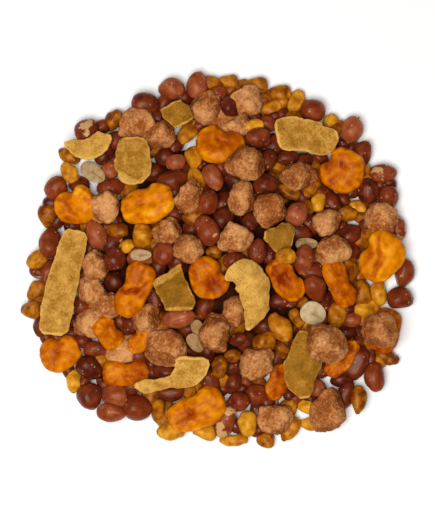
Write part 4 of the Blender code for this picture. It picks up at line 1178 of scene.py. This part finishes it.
def chip_material(colours):
    """Fried maize dough: dry khaki gold, pitted and speckled brown, paler along its rim, which is painted
    light.
    """
    material, tree, shader, local, tone, edge = food(
        "fried_maize_chip", ("tone", "edge"), Roughness=0.6, Specular_IOR_Level=0.25,
        Specular_Tint=linear(OIL_TINT))
    cloudy = add(tree, "TexNoise", {"Vector": local, "Scale": 1.0 / CHIP_CLOUD, "Detail": 4.0,
                             "Roughness": 0.6})
    dough = add(tree, "TexNoise", {"Vector": local, "Scale": 1.0 / CHIP_DOUGH, "Detail": 3.0,
                            "Roughness": 0.65})
    grainy = add(tree, "Math", {0: dough, 1: 0.6, 2: cloudy}, operation="MULTIPLY_ADD")
    own = add(tree, "MapRange", {"Value": tone, "To Min": -0.55, "To Max": 0.05})
    # The pale rim is painted light
    rim = add(tree, "Math", {0: edge, 1: 0.4, 2: own}, operation="MULTIPLY_ADD")
    mixed = add(tree, "Math", {0: grainy, 1: rim}, operation="ADD")
    base = add(tree, "ValToRGB", {"Fac": mixed}, stops=(
        (0.1, colours.chip_shade), (0.5, colours.chip_gold), (0.95, colours.chip_rim)))
    specks = add(tree, "TexVoronoi", {"Vector": local, "Scale": 1.0 / CHIP_PIT}, feature="F1")
    sparse = add(tree, "TexNoise", {"Vector": local, "Scale": 1.0 / CHIP_PATCH, "Detail": 1.0})
    spots = add(tree, "MapRange", {"Value": specks, "From Min": 0.32, "From Max": 0.18})
    kept = add(tree, "MapRange", {"Value": sparse, "From Min": 0.45, "From Max": 0.6, "To Max": 0.65})
    speckled = add(tree, "Math", {0: spots, 1: kept}, operation="MULTIPLY")
    coloured = add(tree, "Mix", {MIX_FACTOR: speckled, MIX_A: base,
                                 MIX_B: linear(CHIP_SPECK)}, data_type="RGBA")
    grain = add(tree, "TexNoise", {"Vector": local, "Scale": 1.0 / CHIP_GRAIN, "Detail": 4.0})
    bump = add(tree, "Bump", {"Height": grain, "Strength": 0.8, "Distance": 0.3 * MM})
    feed(shader, {"Base Color": coloured, "Normal": bump})
    return material


def dress(piece, material, nodes):
    """Gives a piece its material, its body and the solids that it stands for."""
    piece.data.materials.append(material)
    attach(piece, "root")
    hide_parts(*nodes)


class SnackColours(bpy.types.PropertyGroup):
    """Colours of the pieces."""

    __annotations__ = {
        name: bpy.props.FloatVectorProperty(
            name=label, description=description, subtype="COLOR", size=4, default=linear(colour))
        for name, (label, description, colour) in COLOURS.items()
    }


class SnackStage(bpy.types.PropertyGroup):
    """Camera and light."""

    camera_height: bpy.props.FloatProperty(
        name="Camera height", description="Camera above the table", default=1.0, min=0.3,
        unit="LENGTH")
    frame_height: bpy.props.FloatProperty(
        name="Frame height", description="Table that the picture takes in, top to bottom",
        default=0.2363, min=0.05, unit="LENGTH")
    key_power: bpy.props.FloatProperty(
        name="Key light", description="Power of the window-like light", default=14.9, min=0.0,
        unit="POWER")
    sky: bpy.props.FloatProperty(
        name="Room light", description="Strength of the light from all round", default=0.13, min=0.0)


class SNACK_OT_core(bpy.types.Operator):
    """Adds the dark inside of the heap, seen only deep between the pieces; its near-black colour is
    painted shade.
    """

    bl_idname = "snack.core"
    bl_label = "Inside of the heap"

    def execute(self, context):
        """Dome: the mound lowered by the depth, over a disc that closes on the table."""
        rings, sides = CORE_GRID
        r = CORE_RADIUS * np.sin(np.linspace(0.0, 0.5 * math.pi, rings))
        w = 2.0 * math.pi * np.arange(sides) / sides
        r, w = np.meshgrid(r, w, indexing="ij")
        x, y = r * np.cos(w), r * np.sin(w)
        top = np.maximum(mound_height(x, y) - CORE_DEPTH, FLOOR_CLEARANCE)
        low = np.stack((x[::-1], y[::-1], np.full_like(x, 0.5 * FLOOR_CLEARANCE)), axis=-1)
        points = np.concatenate((np.stack((x, y, top), axis=-1), low)).reshape(-1, 3)
        faces = outward(points, grid_faces(2 * rings, sides))
        piece = piece_from("heap_inside", [{"points": points, "faces": faces, "attributes": {}}])
        # Painted shade deep between the nuts: dull, mottled dark brown, and nearly black in the shade
        material, tree, shader = blank("painted_shade_core", Roughness=0.9, Specular_IOR_Level=0.05)
        where = add(tree, "TexCoord").outputs["Object"]
        core_mottle = add(tree, "TexNoise", {"Vector": where, "Scale": 1.0 / (CORE_MOTTLE * MM), "Detail": 4.0})
        base = add(tree, "ValToRGB", {"Fac": core_mottle}, stops=(
            (0.35, linear(CORE_SHADE_DARK)), (0.75, linear(CORE_SHADE_BROWN))))
        feed(shader, {"Base Color": base})
        dress(piece, material, ("nut_mix",))
        return {"FINISHED"}


class SNACK_OT_redskin_peanuts(bpy.types.Operator):
    """Adds the roasted peanuts in their red skins."""

    bl_idname = "snack.redskin_peanuts"
    bl_label = "Redskin peanuts"

    def execute(self, context):
        piece = piece_from("redskin_peanuts", [nut_part("skin", nut) for nut in heap()["skin"]])
        dress(piece, skin_material(context.scene.snack_colours), ("nut_mix",))
        return {"FINISHED"}


class SNACK_OT_sugared_peanuts(bpy.types.Operator):
    """Adds the peanuts in their crust of sugar."""

    bl_idname = "snack.sugared_peanuts"
    bl_label = "Sugared peanuts"

    def execute(self, context):
        piece = piece_from("sugared_peanuts", [nut_part("sugar", nut) for nut in heap()["sugar"]])
        tops = [f"sugared_peanut_{i + 1:02d}" for i in range(len(TOP_SUGARED))]
        dress(piece, crust_material(context.scene.snack_colours), ("nut_mix", *tops))
        return {"FINISHED"}


class SNACK_OT_corn_kernels(bpy.types.Operator):
    """Adds the toasted corn kernels."""

    bl_idname = "snack.corn_kernels"
    bl_label = "Corn kernels"

    def execute(self, context):
        piece = piece_from("corn_kernels", [nut_part("corn", nut) for nut in heap()["corn"]])
        dress(piece, corn_material(context.scene.snack_colours),
              ("nut_mix", "corn_kernel_01"))
        return {"FINISHED"}


class SNACK_OT_peanut_halves(bpy.types.Operator):
    """Adds the blanched peanut halves."""

    bl_idname = "snack.peanut_halves"
    bl_label = "Peanut halves"

    def execute(self, context):
        piece = piece_from("peanut_halves", [nut_part("half", nut) for nut in heap()["half"]])
        dress(piece, half_material(context.scene.snack_colours), ("nut_mix",))
        return {"FINISHED"}


class SNACK_OT_orange_beans(bpy.types.Operator):
    """Adds the fried orange beans, each its own piece."""

    bl_idname = "snack.orange_beans"
    bl_label = "Orange beans"

    def execute(self, context):
        material = bean_material(context.scene.snack_colours)
        for number, bean in enumerate(heap()["bean"], 1):
            piece = piece_from(f"fried_bean_{number:02d}", [nut_part("bean", bean)])
            dress(piece, material, (f"orange_bean_{number:02d}",))
        return {"FINISHED"}


class SNACK_OT_corn_chips(bpy.types.Operator):
    """Adds the corn chips, each its own piece."""

    bl_idname = "snack.corn_chips"
    bl_label = "Corn chips"

    def execute(self, context):
        material = chip_material(context.scene.snack_colours)
        for chip in heap()["chip"]:
            piece = piece_from(f"chip_{chip.row}", [chip_part(chip)])
            dress(piece, material, (f"corn_chip_{chip.row}",))
        return {"FINISHED"}


class SNACK_OT_stage(bpy.types.Operator):
    """Adds the pale table, the light and the camera above."""

    bl_idname = "snack.stage"
    bl_label = "Table, light and camera"

    def execute(self, context):
        scene, stage = context.scene, context.scene.snack_stage
        scene.view_settings.view_transform = "Standard"
        mesh = bpy.data.meshes.new("table")
        sides = ((-1, -1), (1, -1), (1, 1), (-1, 1))
        corners = [(x * TABLE_REACH, y * TABLE_REACH, 0.0) for x, y in sides]
        mesh.from_pydata(corners, [], [(0, 1, 2, 3)])
        table = bpy.data.objects.new("table", mesh)
        scene.collection.objects.link(table)
        # Painted board: matt, so that it takes soft shadows and no reflections
        mesh.materials.append(blank("matt_white_board", Roughness=0.8, Base_Color=linear(FLOOR_WHITE))[0])
        world = bpy.data.worlds.new("room")
        world.use_nodes = True
        feed(world.node_tree.nodes["Background"], {"Strength": stage.sky, "Color": (1.0, 1.0, 1.0, 1.0)})
        scene.world = world
        key = bpy.data.lights.new("window", "AREA")
        key.shape, key.size, key.energy = "SQUARE", LAMP_SIDE, stage.key_power
        lamp = bpy.data.objects.new("window", key)
        lamp.location = LAMP_PLACE
        lamp.rotation_euler = (Vector() - lamp.location).to_track_quat("-Z", "Y").to_euler()
        scene.collection.objects.link(lamp)
        camera = bpy.data.cameras.new("overhead")
        camera.sensor_fit = "VERTICAL"
        camera.sensor_height = SENSOR_HEIGHT
        camera.lens = SENSOR_HEIGHT * stage.camera_height / stage.frame_height
        view = bpy.data.objects.new("overhead", camera)
        view.location = (0.0, 0.0, stage.camera_height)
        scene.collection.objects.link(view)
        scene.camera = view
        return {"FINISHED"}


class SNACK_PT_panel(bpy.types.Panel):
    """Lists the steps that dress the heap, with its colours."""

    bl_idname = "SNACK_PT_panel"
    bl_label = "Snack Mix"
    bl_space_type = "VIEW_3D"
    bl_region_type = "UI"
    bl_category = "Snack Mix"

    def draw(self, context):
        for group in (context.scene.snack_colours, context.scene.snack_stage):
            for name in group.__annotations__:
                self.layout.prop(group, name)
        for step in STEPS:
            self.layout.operator(step.bl_idname)


STEPS = (
    SNACK_OT_core, SNACK_OT_redskin_peanuts, SNACK_OT_sugared_peanuts, SNACK_OT_corn_kernels,
    SNACK_OT_peanut_halves, SNACK_OT_orange_beans, SNACK_OT_corn_chips, SNACK_OT_stage,
)
CLASSES = (SnackColours, SnackStage, *STEPS, SNACK_PT_panel)


def register():
    for item in CLASSES:
        bpy.utils.register_class(item)
    bpy.types.Scene.snack_colours = bpy.props.PointerProperty(type=SnackColours)
    bpy.types.Scene.snack_stage = bpy.props.PointerProperty(type=SnackStage)


def unregister():
    del bpy.types.Scene.snack_stage
    del bpy.types.Scene.snack_colours
    for item in reversed(CLASSES):
        bpy.utils.unregister_class(item)


def main():
    """Registers the add-on and runs its steps in order."""
    register()
    for step in STEPS:
        group, name = step.bl_idname.split(".")
        getattr(getattr(bpy.ops, group), name)()


if __name__ == "__main__":
    main()
